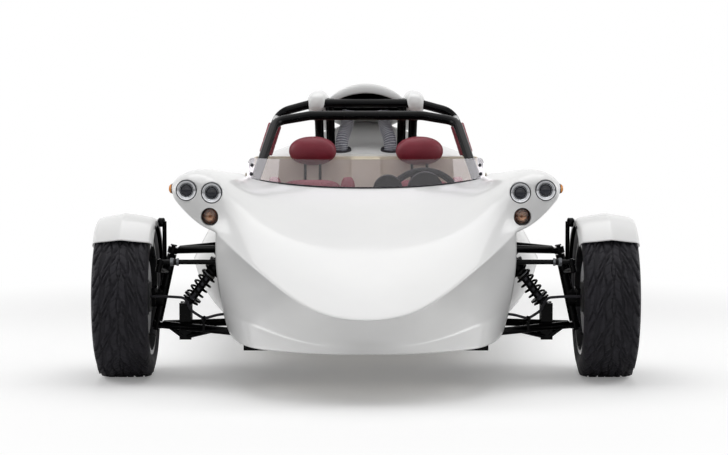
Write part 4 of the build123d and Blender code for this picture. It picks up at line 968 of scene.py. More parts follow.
# ---- mudguards, dampers and brake hoses --------------------------------------------------
@dataclass
class Mudguard(SidePart):
    """A cycle mudguard: a white ridged shell over a black sheet of painted shade, on the upright's stay."""

    wheel: Point = (887, -950, 296)
    front_deg: float = 47.5
    rear_deg: float = 187.0
    steps: int = 72
    half_w: float = 110.0
    # the black sheet of painted shade under the shell: its thickness, its gap and how far its lips hang
    shell_t: float = 2.6
    shade_sheet_t: float = 0.8
    shade_sheet_gap: float = 0.1
    shade_sheet_lip: float = 1.2
    # how far round the wheel an end's corners are drawn in, in radians, and over how many steps
    corner_pull: float = 0.018
    corner_steps: float = 3.0
    screw_degs: tuple[float, ...] = (70.0, 92.0, 114.0)
    screw_ring_r: float = 284.0
    screw_inset: float = 116.0
    screw: Section = ((-3.4, 0), (-3.4, 4), (-2.4, 6.4), (0.6, 6.8), (0.6, 0))
    stay_inset: float = 116.5
    stay_top: float = 576.0
    plate_back: float = 36.0
    plate_drop: float = 4.0
    foot_plate: Section = ((0, 0), (0, 15), (2, 17), (20, 17), (23, 12), (26, 0))
    # (across from the wheel's middle, radius), from the outer lip over the ridge to the inner lip
    section: Section = (
        (103.6, 270), (103.6, 279), (102, 286), (97, 293), (88, 297), (60, 302.5), (30, 307.5), (8, 311.5),
        (0, 312.5), (-8, 311.5), (-34, 307.5), (-64, 302.5), (-96, 296.5), (-107, 292), (-113, 285),
        (-115, 277), (-115, 268),
    )

    def build(self) -> None:
        """Builds the shell, the black sheet of painted shade under it, its screws and its stay on the
        upright.
        """
        body = f"upright_{self.letter}"
        shell = self._band(f"mudguard_{self.letter}", 0.0, 0.0, self.shell_t, PEARL)
        place(shell, body, f"fender_{self.letter}")
        # a black sheet just inside the shell: painted shade on the mudguard's underside
        inset = self.shell_t + self.shade_sheet_gap
        shade_sheet = self._band(f"mudguard_shade_sheet_{self.letter}", inset, self.shade_sheet_lip, self.shade_sheet_t, ABS_BLACK)
        place(shade_sheet, body)
        cx, cy, cz = self.wheel
        screws = []
        for deg in self.screw_degs:
            y = cy - self.screw_ring_r * cos(radians(deg))
            z = cz + self.screw_ring_r * sin(radians(deg))
            spot = self.at((cx - self.screw_inset, y, z))
            screws.append(turned("screw", spot, (self.side, 0, 0), self.screw, DARK_STEEL, 20))
        place(join_pieces(f"mudguard_screws_{self.letter}", screws), body)
        self._carrier(body)

    def _carrier(self, body: str) -> None:
        """Builds the hub carrier with its stay trimmed below the mudguard, and the stay's foot plate.

        Args:
            body: The body that carries it.
        """
        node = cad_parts[f"knuckle_{self.letter}"]
        carrier = bpy.data.objects.new(f"hub_carrier_{self.letter}", node.data.copy())
        bpy.context.scene.collection.objects.link(carrier)
        carrier.data.transform(node.matrix_world)
        with editing(carrier) as work:
            bmesh.ops.remove_doubles(work, verts=work.verts, dist=1e-6)
            cut = bmesh.ops.bisect_plane(
                work,
                geom=work.verts[:] + work.edges[:] + work.faces[:],
                plane_co=(0, 0, self.stay_top * MM),
                plane_no=(0, 0, 1),
                clear_outer=True,
            )["geom_cut"]
            bmesh.ops.holes_fill(work, edges=[edge for edge in cut if isinstance(edge, bmesh.types.BMEdge)])
        cx, cy, _ = self.wheel
        top = self.at((cx - self.stay_inset, cy + self.plate_back, self.stay_top - self.plate_drop))
        plate = turned("plate", top, (-self.side, 0, 0), self.foot_plate, POWDER, 32)
        set_edges(carrier)
        place(join_pieces(carrier.name, [carrier, plate]), body, f"knuckle_{self.letter}")

    def _band(self, name: str, inset: float, lip: float, wall: float, finish: Finish) -> bpy.types.Object:
        """Turns the section about the wheel's axis into a thick band.

        Args:
            name: The band's name.
            inset: How far inside the outer skin it lies.
            lip: How far its lips hang below the shell's.
            wall: How thick it is.
            finish: Its finish.

        Returns:
            The band.
        """
        cx, cy, cz = self.wheel
        outline = [(x * (1 - inset / self.half_w), r - inset) for x, r in self.section]
        for end in (0, -1):
            outline[end] = (outline[end][0], outline[end][1] - lip)
        points = []
        for i in range(self.steps + 1):
            share = i / self.steps
            angle = radians(self.front_deg + (self.rear_deg - self.front_deg) * share)
            # the ends round off towards the lips
            rounding = max(0.0, 1 - min(share, 1 - share) * self.steps / self.corner_steps)
            for x, r in outline:
                pull = self.corner_pull * rounding * (x / self.half_w) ** 4
                turn = angle + (pull if share < 0.5 else -pull)
                points.append(self.at((cx + x, cy - r * cos(turn), cz + r * sin(turn))))
        faces = quads(self.steps + 1, len(outline), ring=False)
        if self.side > 0:
            faces = [face[::-1] for face in faces]
        band = make_object(name, points, faces, finish)
        add_modifier(band, "SUBSURF", levels=0 if inset else 1)
        add_modifier(band, "SOLIDIFY", thickness=wall * MM, offset=-1)
        apply_modifiers(band)
        tidy_mesh(band)
        return band


@dataclass
class RunningGear(SidePart):
    """The dress of the front suspension: damper cans, spring seats, lock nuts and brake hoses."""

    damper_foot: Point = (668, -950, 262)
    damper_head: Point = (520, -950, 462)
    can: Section = ((18, 0), (18, 19), (21, 22), (96, 22), (98, 20), (98, 0))
    collar: Section = ((98, 0), (98, 21), (99, 22.6), (113, 22.6), (114, 21), (114, 0))
    upper_seat: Section = ((20, 0), (20, 30), (22, 34.5), (26, 34.5), (28, 30), (28, 0))
    # the lower seat's places along the damper are counted from its foot
    lower_seat: Section = ((-34, 0), (-34, 30), (-32, 33), (-28, 33), (-26, 26), (-26, 0))
    rod_outer: Point = (752, -1068, 438)
    rod_inner: Point = (447, -1068, 438)
    # share of the tie rod where a nut starts and ends, its radius and its sides
    nuts: tuple[tuple[float, float, float, int], ...] = (
        (0.125, 0.15, 16.5, 6), (0.152, 0.162, 14.5, 32), (0.2, 0.225, 15.5, 6),
    )
    eye_bolt_r: float = 9.5
    eye_bolt_y: float = -33.0
    eye_bolt_len: float = 7.0
    hose_r: float = 5.0
    hose_bend: float = 18.0
    hose_step: float = 3.0
    hose_route: tuple[Point, ...] = (
        (442, -1110, 254), (535, -1106, 250), (592, -1085, 232), (640, -1080, 262), (660, -1077, 308),
        (720, -1076, 312), (785, -1076, 312),
    )
    # metres: two points on the hose's run beside the upright
    hose_flex_m: tuple[Point, Point] = ((0.655, -1.077, 0.31), (0.775, -1.076, 0.312))

    def build(self) -> None:
        """Builds one side."""
        self._damper()
        self._lock_nuts()
        self._hose()

    def _damper(self) -> None:
        """Builds the black can, its bright collar, the spring seats and the eye bolts."""
        head, foot = self.at(self.damper_head), self.at(self.damper_foot)
        down = foot - head
        lower_seat = [(down.length + along, radius) for along, radius in self.lower_seat]
        parts = []
        for profile, finish, sides in (
            (self.can, POWDER, 40),
            (self.collar, CASE_ALLOY, 40),
            (self.upper_seat, POWDER, 48),
            (lower_seat, POWDER, 48),
        ):
            parts.append(turned("damper_ring", head, down, profile, finish, sides))
        for eye in (head, foot):
            start = eye + Vector((0, self.eye_bolt_y, 0))
            end = start + Vector((0, self.eye_bolt_len, 0))
            parts.append(bar(start, end, self.eye_bolt_r, DARK_STEEL, 6))
        place(join_pieces(f"damper_dress_{self.letter}", parts), "chassis")

    def _lock_nuts(self) -> None:
        """Builds the two bright lock nuts and the sleeve of a tie rod."""
        outer, inner = self.at(self.rod_outer), self.at(self.rod_inner)
        parts = []
        for low, high, radius, sides in self.nuts:
            parts.append(bar(outer.lerp(inner, low), outer.lerp(inner, high), radius, CASE_ALLOY, sides))
        nuts = join_pieces(f"tie_rod_nuts_{self.letter}", parts)
        set_edges(nuts)
        place(nuts, f"track_rod_{self.letter}")

    def _hose(self) -> None:
        """Builds a brake hose that bends from the frame to the caliper."""
        route = bent_route([self.at(point) for point in self.hose_route], self.hose_bend, self.hose_step)
        hose = swept(f"brake_hose_skin_{self.letter}", route, self.hose_r, RUBBER, 20)
        letter = self.letter
        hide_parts(f"brake_hose_{letter}")
        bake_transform(hose)
        log.info("%s: %d faces between chassis and upright", hose.name, len(hose.data.polygons))


# ---- lamps -------------------------------------------------------------------------------
# One ring of a lamp: its finish, its steps round and (along, inset from the lamp's radius) points.
LampRing = tuple[Finish, int, Section]

# The black-chrome ring lines the bore and rims the bezel: painted shade for the shadow round the sunk
# bezel, as well as its gasket.
HEADLAMP_BEZEL: tuple[LampRing, ...] = (
    (DARK_CHROME, 72, ((26, -0.3), (-3.0, -0.3), (-4.2, 0.4), (-4.2, 2.2), (-3.0, 2.8))),
    (CHROME, 72, ((-3.0, 2.6), (-4.0, 3.4), (-3.8, 5.0), (-2.6, 6.6), (1.0, 7.0))),
)
HEADLAMP_FUNNEL: tuple[LampRing, ...] = (
    (SATIN_CHROME, 72, ((1.0, 6.8), (1.4, 9.0), (0.6, 9.6), (2.4, 13.0), (5.0, 14.6), (8, 15.2))),
)
DRIVING_LAMP: tuple[LampRing, ...] = (
    (LAMP_BLACK, 64, ((26, 0.6), (-1.0, 0.6), (-2.2, 1.8), (-1.8, 4.0), (4, 5.6), (26, 5.6))),
)
TAIL_LAMP_RIM: tuple[LampRing, ...] = ((CHROME, 64, ((0, 0.4), (16, 0.4), (19, 2), (19, 4), (15, 6))),)


def both_sides(x: float, y: float, z: float) -> tuple[Point, Point]:
    """Gives a place on the right and the same place on the left."""
    return (-x, y, z), (x, y, z)


def lamp_rings(spot: Point, radius: float, rings: tuple[LampRing, ...]) -> list[bpy.types.Object]:
    """Makes the open rings of a lamp.

    Args:
        spot: The middle of the lamp's face, in millimetres.
        radius: The lamp's radius.
        rings: The rings.

    Returns:
        The rings, one after the other.
    """
    made = []
    for finish, sides, profile in rings:
        at_radius = [(along, radius - inset) for along, inset in profile]
        made.append(turned("ring", spot, BACKWARDS, at_radius, finish, sides))
    return made


@dataclass
class Lamps:
    """The projector headlamps, the driving lamps under them, the side markers and the tail lamps."""

    face_y: float = -1088.0
    # (across, height, radius)
    headlamps: tuple[tuple[float, float, float], ...] = ((653, 701, 38.0), (561, 692, 38.0))
    driving_lamp: tuple[float, float, float] = (567, 606, 32.0)
    tail_lamp: tuple[float, float, float] = (330, 700, 44.0)
    tail_y: float = 1150.6
    marker: Point = (714, -960, 700)
    marker_seat: Section = ((0, 18.6), (2, 18.6), (3.4, 17.4), (3.4, 0))
    marker_lens: Section = ((3.4, 17), (7, 16.4), (10.6, 13), (13, 8), (13.8, 0))
    bulb: Section = ((5.6, 0), (6.2, 3.0), (8, 4.4), (13, 4.4))
    glass_shares: tuple[float, ...] = (0, 0.14, 0.28, 0.42, 0.56, 0.7, 0.84, 1.0)
    lens_inset: float = 16.4
    dome_angles: tuple[float, ...] = (0, 0.3, 0.6, 0.9, 1.2, 1.45, 1.57)
    tail_ridges: int = 8
    tail_middle: Section = ((18.8, 15), (21.6, 13), (24.2, 8), (25.2, 0))

    def build(self) -> None:
        """Builds every lamp with its glass and optics."""
        bezels, bowls, cores = [], [], []
        for x, z, r in self.headlamps:
            for spot in both_sides(x, self.face_y, z):
                bezels += lamp_rings(spot, r, HEADLAMP_BEZEL)
                bowls += lamp_rings(spot, r, HEADLAMP_FUNNEL)
                cup = [(7.6, r - 15.0), (26, r - 16), (26, 0)]
                bowls.append(turned("cup", spot, BACKWARDS, cup, LAMP_BLACK, 48))
                cores += self._projector(spot, r)
        self._set("headlamp_bezels", bezels, "headlamps")
        self._set("headlamp_bowls", bowls)
        self._set("headlamp_projectors", cores, "headlamp_lenses")
        self._driving_lamps()
        self._markers()
        self._tail_lamps()

    def _set(self, name: str, parts: list[bpy.types.Object], *nodes: str) -> None:
        """Joins the parts of a set of lamps, keeps their edges crisp and puts them in place of nodes.

        Args:
            name: The set's name.
            parts: Its parts.
            nodes: The nodes that it stands for.
        """
        piece = join_pieces(name, parts)
        set_edges(piece)
        place(piece, "chassis", *nodes)

    def _projector(self, spot: Point, r: float) -> list[bpy.types.Object]:
        """Makes the thick projector lens in its satin collar.

        Args:
            spot: The middle of the lamp's face, in millimetres.
            r: The lamp's radius.

        Returns:
            The lens and the collar.
        """
        lens_r = r - self.lens_inset
        dome = [(9 - 12 * cos(angle), lens_r * sin(angle)) for angle in self.dome_angles]
        lens = turned("lens", spot, BACKWARDS, dome + [(22, lens_r), (22, 0)], LENS_GLASS, 56)
        collar = ((22, 1.4), (8.5, 1.4), (7.8, 1.0), (7.8, 0.4), (22, 0.4))
        at_radius = [(along, lens_r + proud) for along, proud in collar]
        return [lens, turned("collar", spot, BACKWARDS, at_radius, SATIN_CHROME, 56)]

    def _driving_lamps(self) -> None:
        """Makes the driving lamps: black rim, bright reflector, amber bulb and a fluted glass."""
        x, z, r = self.driving_lamp
        bowl = [(5, r - 5.8), (8, r - 10), (11.5, r - 18), (13.5, r - 26), (14, 0)]
        glass = []
        for n, share in enumerate(self.glass_shares):
            flute = 0.5 if n % 2 else 0.0
            glass.append((0.5 + 3.0 * share * share + flute, (r - 6.0) * share))
        glass += [(3.6, r - 6.0), (3.0, 0)]
        parts = []
        for spot in both_sides(x, self.face_y, z):
            parts += lamp_rings(spot, r, DRIVING_LAMP)
            parts.append(turned("bowl", spot, BACKWARDS, bowl, REFLECTOR_WARM, 64))
            parts.append(turned("bulb", spot, BACKWARDS, self.bulb, AMBER, 24))
            parts.append(turned("glass", spot, BACKWARDS, glass, GLASS_SMOKE, 64))
        self._set("driving_lamps", parts, "fog_lamps")

    def _markers(self) -> None:
        """Makes the amber side markers on their black seats."""
        parts = []
        for spot in both_sides(*self.marker):
            outwards = (spot[0], 0, 0)
            parts.append(turned("seat", spot, outwards, self.marker_seat, RUBBER, 40))
            parts.append(turned("lens", spot, outwards, self.marker_lens, AMBER, 40))
        self._set("marker_lamps", parts, "side_markers")

    def _tail_lamps(self) -> None:
        """Makes the round tail lamps: chrome rim, ringed red glass and an amber middle."""
        x, z, r = self.tail_lamp
        lens = [(14, r - 5.6)]
        for k in range(self.tail_ridges):
            radius = (r - 6.5) * (1 - k / self.tail_ridges)
            lens += [(16.5 + 0.8 * k, radius), (15.6 + 0.8 * k, radius - 2.2)]
        lens.append((21, 0))
        parts = []
        for spot in both_sides(x, self.tail_y, z):
            parts += lamp_rings(spot, r, TAIL_LAMP_RIM)
            parts.append(turned("lens", spot, BACKWARDS, lens, LENS_RED, 64))
            parts.append(turned("middle", spot, BACKWARDS, self.tail_middle, AMBER, 40))
        self._set("rear_lamps", parts, "tail_lamps")


# ---- padded pieces -----------------------------------------------------------------------
@dataclass
class Pad:
    """One stuffed vinyl pad: a rounded box that swells, with sewn channels and a piped edge.

    The pad is made about its own centre: width along X, height along Y and thickness along Z, with
    its sat-on face towards +Z. Sizes are millimetres.
    """

    width: float
    height: float
    thick: float
    roundness: float
    swell: float
    channels: tuple[float, ...] = ()
    cross_seams: tuple[float, ...] = ()
    channel_depth: float = 9.0
    channel_w: float = 6.0
    crumple: float = 0.8
    crumple_scale: float = 0.021
    piping_r: float = 3.2
    piping_steps: int = 160
    steps: int = 22

    def build(self, name: str, finish: Finish, stand: Matrix) -> bpy.types.Object:
        """Builds the pad and its piping and puts them in place.

        Args:
            name: The object's name.
            finish: The cover's finish.
            stand: Where the pad's own axes stand, in millimetres.

        Returns:
            The pad.
        """
        points: list[Vector] = []
        faces: list[Face] = []
        places = [sin(pi / 2 * (2 * i / self.steps - 1)) for i in range(self.steps + 1)]
        for axis in range(3):
            for sign in (-1, 1):
                faces += quads(len(places), len(places), start=len(points), ring=False)
                for first in places:
                    for second in places:
                        flat = Vector()
                        flat[axis], flat[(axis + 1) % 3], flat[(axis + 2) % 3] = sign, first, second
                        points.append(stand @ self._skin(flat))
        pad = make_object(name, points, faces, finish)
        tidy_mesh(pad, 0.2)
        edge = [stand @ self._outline(tau * i / self.piping_steps) for i in range(self.piping_steps)]
        return join_pieces(name, [pad, swept("piping", edge, self.piping_r, finish, 10, closed=True)])

    def _outline(self, angle: float) -> Vector:
        """Gives a point of the pad's outline, where its piping runs."""
        across, along = squircle(angle, self.roundness)
        return Vector((across * self.width / 2, along * self.height / 2, 0))

    def _skin(self, flat: Vector) -> Vector:
        """Moves a point of a cube that reaches from -1 to 1 on each axis onto the pad's cover.

        Args:
            flat: The point on the cube.

        Returns:
            The point on the cover.
        """
        size = sum(abs(c) ** self.roundness for c in flat) ** (1 / self.roundness)
        u, v, w = flat / size
        x, y, z = u * self.width / 2, v * self.height / 2, w * self.thick / 2
        z *= 1 + self.swell * (1 - u * u) * (1 - v * v)
        top = min(1.0, max(0.0, (w - 0.2) / 0.5))
        sunk = self._dips(x, self.width, self.channels) * max(0.0, 1 - abs(v) ** 6)
        sewn = self._dips(y, self.height, self.cross_seams) * max(0.0, 1 - abs(u) ** 6)
        z -= self.channel_depth * min(1.3, (sunk + sewn) * top)
        where = Vector((x, y, z)) * self.crumple_scale
        z += self.crumple * (noise.noise(where) + 0.35 * noise.noise(where * 3.7))
        return Vector((x, y, z))

    def _dips(self, at: float, size: float, shares: tuple[float, ...]) -> float:
        """Adds up the seams that a place lies in, given as shares of half the pad's size."""
        return sum(exp(-(((at - share * size / 2) / self.channel_w) ** 2)) for share in shares)


@dataclass
class Seat(SidePart):
    """A bucket seat, its headrest and the pad on the main hoop's leg."""

    seat_x: float = 232.0
    width: float = 372.0
    roll_w: float = 62.0
    rolls_w: float = 80.0
    cushion_roundness: float = 4.6
    cushion_swell: float = 0.10
    channels: tuple[float, ...] = (-0.56, 0.0, 0.56)
    back_lean_deg: float = -19.0
    base_tilt_deg: float = -4.0
    headrest: Point = (230, 384, 787)
    pad_foot: Point = (446, 462, 740)
    pad_head: Point = (378, 462, 950)
    pad_steps: int = 40
    pad_bore_r: float = 19.4
    pad_end_r: float = 25.5
    pad_swell: float = 4.0
    # shares of the hoop's leg between which the pad lies
    pad_span: tuple[float, float] = (0.15, 0.76)
    # shares of the hoop pad's length: each rounded end, the creases of its lace and their width
    pad_end: float = 0.07
    creases: tuple[float, ...] = (0.36, 0.68)
    crease_w: float = 0.02
    crease_depth: float = 1.1

    def build(self) -> None:
        """Builds the padded pieces of one side."""
        self._seat()
        self._headrest()
        self._hoop_pad()

    def _seat(self) -> None:
        """Builds one seat: base cushion, back cushion and the four side rolls."""
        x = self.side * self.seat_x
        flat = Matrix.Identity(4)
        tilt = Matrix.Rotation(radians(self.base_tilt_deg), 4, "X")
        back = Matrix.Rotation(radians(90 + self.back_lean_deg), 4, "X")
        middle_w = self.width - self.rolls_w
        left, right = x - self.width / 2 + self.roll_w / 2, x + self.width / 2 - self.roll_w / 2
        parts = []
        # width, height, thickness, place, turn, channels, cross seams
        for wide, high, thick, where, turn, channels, seams in (
            (middle_w, 372, 92, (x, -130, 214), tilt, self.channels, (-0.55,)),
            (middle_w, 430, 84, (x, 172, 462), back, self.channels, (0.62,)),
            (self.roll_w, 380, 122, (left, -130, 222), flat, (), ()),
            (self.roll_w, 380, 122, (right, -130, 222), flat, (), ()),
            (self.roll_w, 436, 118, (left, 160, 470), back, (), ()),
            (self.roll_w, 436, 118, (right, 160, 470), back, (), ()),
        ):
            form = (self.cushion_roundness, self.cushion_swell)
            pad = Pad(wide, high, thick, *form, channels, seams)
            parts.append(pad.build("cushion", VINYL_RED, Matrix.Translation(where) @ turn))
        seat = join_pieces(f"seat_{self.letter}", parts)
        place(seat, "chassis", "seats")

    def _headrest(self) -> None:
        """Builds one oval headrest, piped round its middle."""
        facing = Matrix.Translation(self.at(self.headrest)) @ Matrix.Rotation(radians(90), 4, "X")
        pad = Pad(199, 120, 62, 2.15, 0.05, crumple=0.9, piping_r=2.2, steps=30)
        rest = pad.build(f"headrest_{self.letter}", VINYL_RED, facing)
        place(rest, "chassis", "headrests")

    def _hoop_pad(self) -> None:
        """Builds one laced sleeve round a leg of the main hoop."""
        foot, head = self.at(self.pad_foot), self.at(self.pad_head)
        low, high = (foot.lerp(head, share) for share in self.pad_span)
        length = (high - low).length
        profile = []
        for i in range(self.pad_steps + 1):
            share = i / self.pad_steps
            ends = min(1.0, min(share, 1 - share) / self.pad_end)
            radius = self.pad_end_r + self.pad_swell * sqrt(max(0.0, 1 - (1 - ends) ** 2))
            dips = (self.crease_depth * exp(-(((share - at) / self.crease_w) ** 2)) for at in self.creases)
            profile.append((share * length, radius - sum(dips)))
        profile += [(length, self.pad_bore_r), (0, self.pad_bore_r), profile[0]]
        pad = turned(f"hoop_pad_{self.letter}", low, high - low, profile, VINYL_RED, 40)
        place(pad, "chassis", "hoop_pads")


# ---- windscreen --------------------------------------------------------------------------
@dataclass
class Windscreen:
    """The low wrap-round screen with its rubber foot strip and the screws at its ends."""

    foot_r: float = 694.0
    lean: float = 50.0
    centre_y: float = 74.0
    half_w: float = 466.0
    top_z: float = 790.0
    foot_z: float = 678.0
    foot_mid_z: float = 683.0
    foot_end_z: float = 710.0
    glass_t: float = 4.0
    corner_r: float = 20.0
    columns: int = 96
    rows: int = 10
    strip_r: float = 3.4
    strip_steps: int = 120
    # (across, height) of the screws
    screw_places: tuple[tuple[float, float], ...] = ((451.0, 728.0), (448.0, 762.0))
    screw: Section = (
        (0, 0), (0.3, 3.0), (1.4, 5.2), (3.0, 5.6), (3.0, 7.6), (4.2, 7.6), (4.2, 3), (12, 3), (12, 0),
    )

    def build(self) -> None:
        """Builds the pane, the strip and the screws."""
        pane = self._pane()
        foot = [self._at(x, self._foot(x) + 0.5, -1.0) for x in self._stations(self.strip_steps)]
        strip = swept("windscreen_strip", foot, self.strip_r, RUBBER, 10)
        place(pane, "chassis", "windscreen")
        place(strip, "chassis")
        screws = []
        for x, z in self.screw_places:
            for side, _ in SIDES[::-1]:
                outer, inner = self._at(side * x, z, 5.0), self._at(side * x, z, -7.0)
                screws.append(turned("screw", outer, inner - outer, self.screw, DARK_STEEL, 24))
        place(join_pieces("windscreen_screws", screws), "chassis")

    def _stations(self, count: int) -> list[float]:
        """Spreads places evenly over the screen's angle, as distances from the middle."""
        last = asin(self.half_w / self.foot_r)
        return [self.foot_r * sin(last * (2 * i / count - 1)) for i in range(count + 1)]

    def _foot(self, x: float) -> float:
        """Gives the height of the screen's foot at a distance from the middle."""
        share = abs(x) / self.half_w
        return self.foot_mid_z + (self.foot_end_z - self.foot_mid_z) * share**2.2

    def _top(self, x: float) -> float:
        """Gives the height of the screen's top, which drops round its corners.

        Args:
            x: The distance from the middle.

        Returns:
            The height.
        """
        gap = self.half_w - abs(x)
        if gap >= self.corner_r:
            return self.top_z
        return self.top_z - self.corner_r + sqrt(self.corner_r**2 - (self.corner_r - gap) ** 2)

    def _at(self, x: float, z: float, proud: float = 0.0) -> Vector:
        """Gives a point on the screen.

        Args:
            x: How far across, measured at the foot.
            z: The height.
            proud: How far in front of the screen's outer face.

        Returns:
            The point in millimetres.
        """
        back = self.lean * (z - self.foot_z) / (self.top_z - self.foot_z)
        angle = asin(x / self.foot_r)
        reach = self.foot_r + proud
        return Vector((reach * sin(angle), self.centre_y + back - reach * cos(angle), z))

    def _pane(self) -> bpy.types.Object:
        """Makes the glass, with rounded upper corners and a polished edge.

        Returns:
            The pane.
        """
        points = []
        for proud in (0.0, -self.glass_t):
            for x in self._stations(self.columns):
                low, high = self._foot(x), self._top(x)
                for k in range(self.rows + 1):
                    points.append(self._at(x, low + (high - low) * k / self.rows, proud))
        layer = len(points) // 2
        front = quads(self.columns + 1, self.rows + 1, ring=False)
        back = [face[::-1] for face in quads(self.columns + 1, self.rows + 1, start=layer, ring=False)]
        foot = [i * (self.rows + 1) for i in range(self.columns + 1)]
        top = [i + self.rows for i in foot]
        rim = [*foot, *range(foot[-1] + 1, top[-1]), *top[::-1], *range(top[0] - 1, foot[0], -1)]
        edge = [(a, b, b + layer, a + layer) for a, b in zip(rim, [*rim[1:], rim[0]])]
        pane = make_object("windscreen_pane", points, front + back + edge, SCREEN_ACRYLIC)
        tidy_mesh(pane, 0.01)
        set_edges(pane, 50)
        return pane


# ---- roll hoop fairings, scoop and ducts -------------------------------------------------
@dataclass
class ScoopSection:
    """A section of the air scoop: its place, half width, foot height and top height."""

    y: float
    half_w: float
    low: float
    high: float
    # how much of its height is straight sides, and how far in they lean
    foot_share: float = 0.22
    side_lean: float = 0.997

    def towards(self, other: "ScoopSection", share: float, eased: float) -> "ScoopSection":
        """Gives a section between this one and another, by a plain and an eased share.

        Args:
            other: The other section.
            share: The plain share.
            eased: The eased share, for width and top.

        Returns:
            The section between.
        """
        return ScoopSection(
            self.y + (other.y - self.y) * share,
            self.half_w + (other.half_w - self.half_w) * eased,
            self.low + (other.low - self.low) * share,
            self.high + (other.high - self.high) * eased,
        )

    def arch(self, count: int = 36) -> list[Point]:
        """Gives the section's arch, from its right foot over the top to its left foot.

        Args:
            count: Steps over the top.

        Returns:
            Points of the arch.
        """
        foot = self.low + (self.high - self.low) * self.foot_share
        drop = self.high - foot
        radius = (self.half_w**2 + drop**2) / (2 * drop)
        middle_z = self.high - radius
        last = asin(min(1.0, self.half_w / radius))
        if foot < middle_z:
            last = pi - last
        points = [(-self.half_w, self.y, self.low), (-self.half_w * self.side_lean, self.y, foot)]
        for i in range(1, count):
            angle = last * (2 * i / count - 1)
            points.append((radius * sin(angle), self.y, middle_z + radius * cos(angle)))
        return points + [(self.half_w * self.side_lean, self.y, foot), (self.half_w, self.y, self.low)]


def loft(name: str, rows: list[list[Point]], finish: Finish, front: bool = False) -> bpy.types.Object:
    """Joins closed rows of points into one skin that is closed at its back.

    Args:
        name: The skin's name.
        rows: Sections from front to back, all with as many points.
        finish: Its finish.
        front: Whether its front is closed too.

    Returns:
        The skin.
    """
    count = len(rows[0])
    faces = [*quads(len(rows), count), row_cap(len(rows) - 1, count)]
    if front:
        faces.insert(0, row_cap(0, count))
    skin = make_object(name, [point for row in rows for point in row], faces, finish)
    tidy_mesh(skin)
    return skin


@dataclass
class Scoop:
    """The white air scoop with its rolled lip and a black lining inside it, painted shade for the dark
    inside of its mouth.
    """

    skin: tuple[ScoopSection, ...] = (
        ScoopSection(505, 192, 948, 1076),
        ScoopSection(700, 182, 938, 1066),
        ScoopSection(900, 150, 905, 1010),
        ScoopSection(1030, 105, 868, 940),
    )
    # sections of the black lining of painted shade inside the mouth
    throat: tuple[ScoopSection, ...] = (
        ScoopSection(620, 159, 950, 1037),
        ScoopSection(760, 149, 934, 1009),
        ScoopSection(900, 111, 909, 951),
    )
    steps: int = 8
    lip_side: float = 17.0
    lip_top: float = 43.0
    lip_foot: float = 4.0
    throat_behind: float = 18.0
    throat_gap: float = 1.5
    throat_foot: float = 3.0
    # (share of the lip's width, how far behind the scoop's front), from the mouth outwards
    lip: Section = ((0.0, 26), (0.0, 8), (0.1, 2.2), (0.32, 0.3), (0.62, 0.3), (0.88, 2.4), (1.0, 8))

    def build(self) -> None:
        """Builds the skin and the black lining of painted shade inside it."""
        mouth = self.skin[0]
        inner_w, inner_top = mouth.half_w - self.lip_side, mouth.high - self.lip_top
        rows = []
        for share, behind in self.lip:
            half_w, top = inner_w + self.lip_side * share, inner_top + self.lip_top * share
            low = mouth.low + (1 - share) * self.lip_foot
            rows.append(ScoopSection(mouth.y + behind, half_w, low, top).arch())
        for front, back in zip(self.skin, self.skin[1:]):
            for k in range(1, self.steps + 1):
                t = k / self.steps
                eased = t * t if front is mouth else t * t * (3 - 2 * t)
                rows.append(front.towards(back, t, eased).arch())
        skin = loft("air_scoop_skin", rows, PEARL)
        set_edges(skin, 40)
        place(skin, "chassis", "air_scoop")
        throat_mouth = ScoopSection(
            mouth.y + self.throat_behind,
            inner_w + self.throat_gap,
            mouth.low + self.throat_foot,
            inner_top + self.throat_gap,
        )
        rows = [section.arch() for section in (throat_mouth, *self.throat)]
        # a black lining closed at its back: painted shade for the dark inside of the scoop's mouth
        dark = loft("air_scoop_throat", rows, ABS_BLACK)
        set_edges(dark, 40)
        place(dark, "chassis")


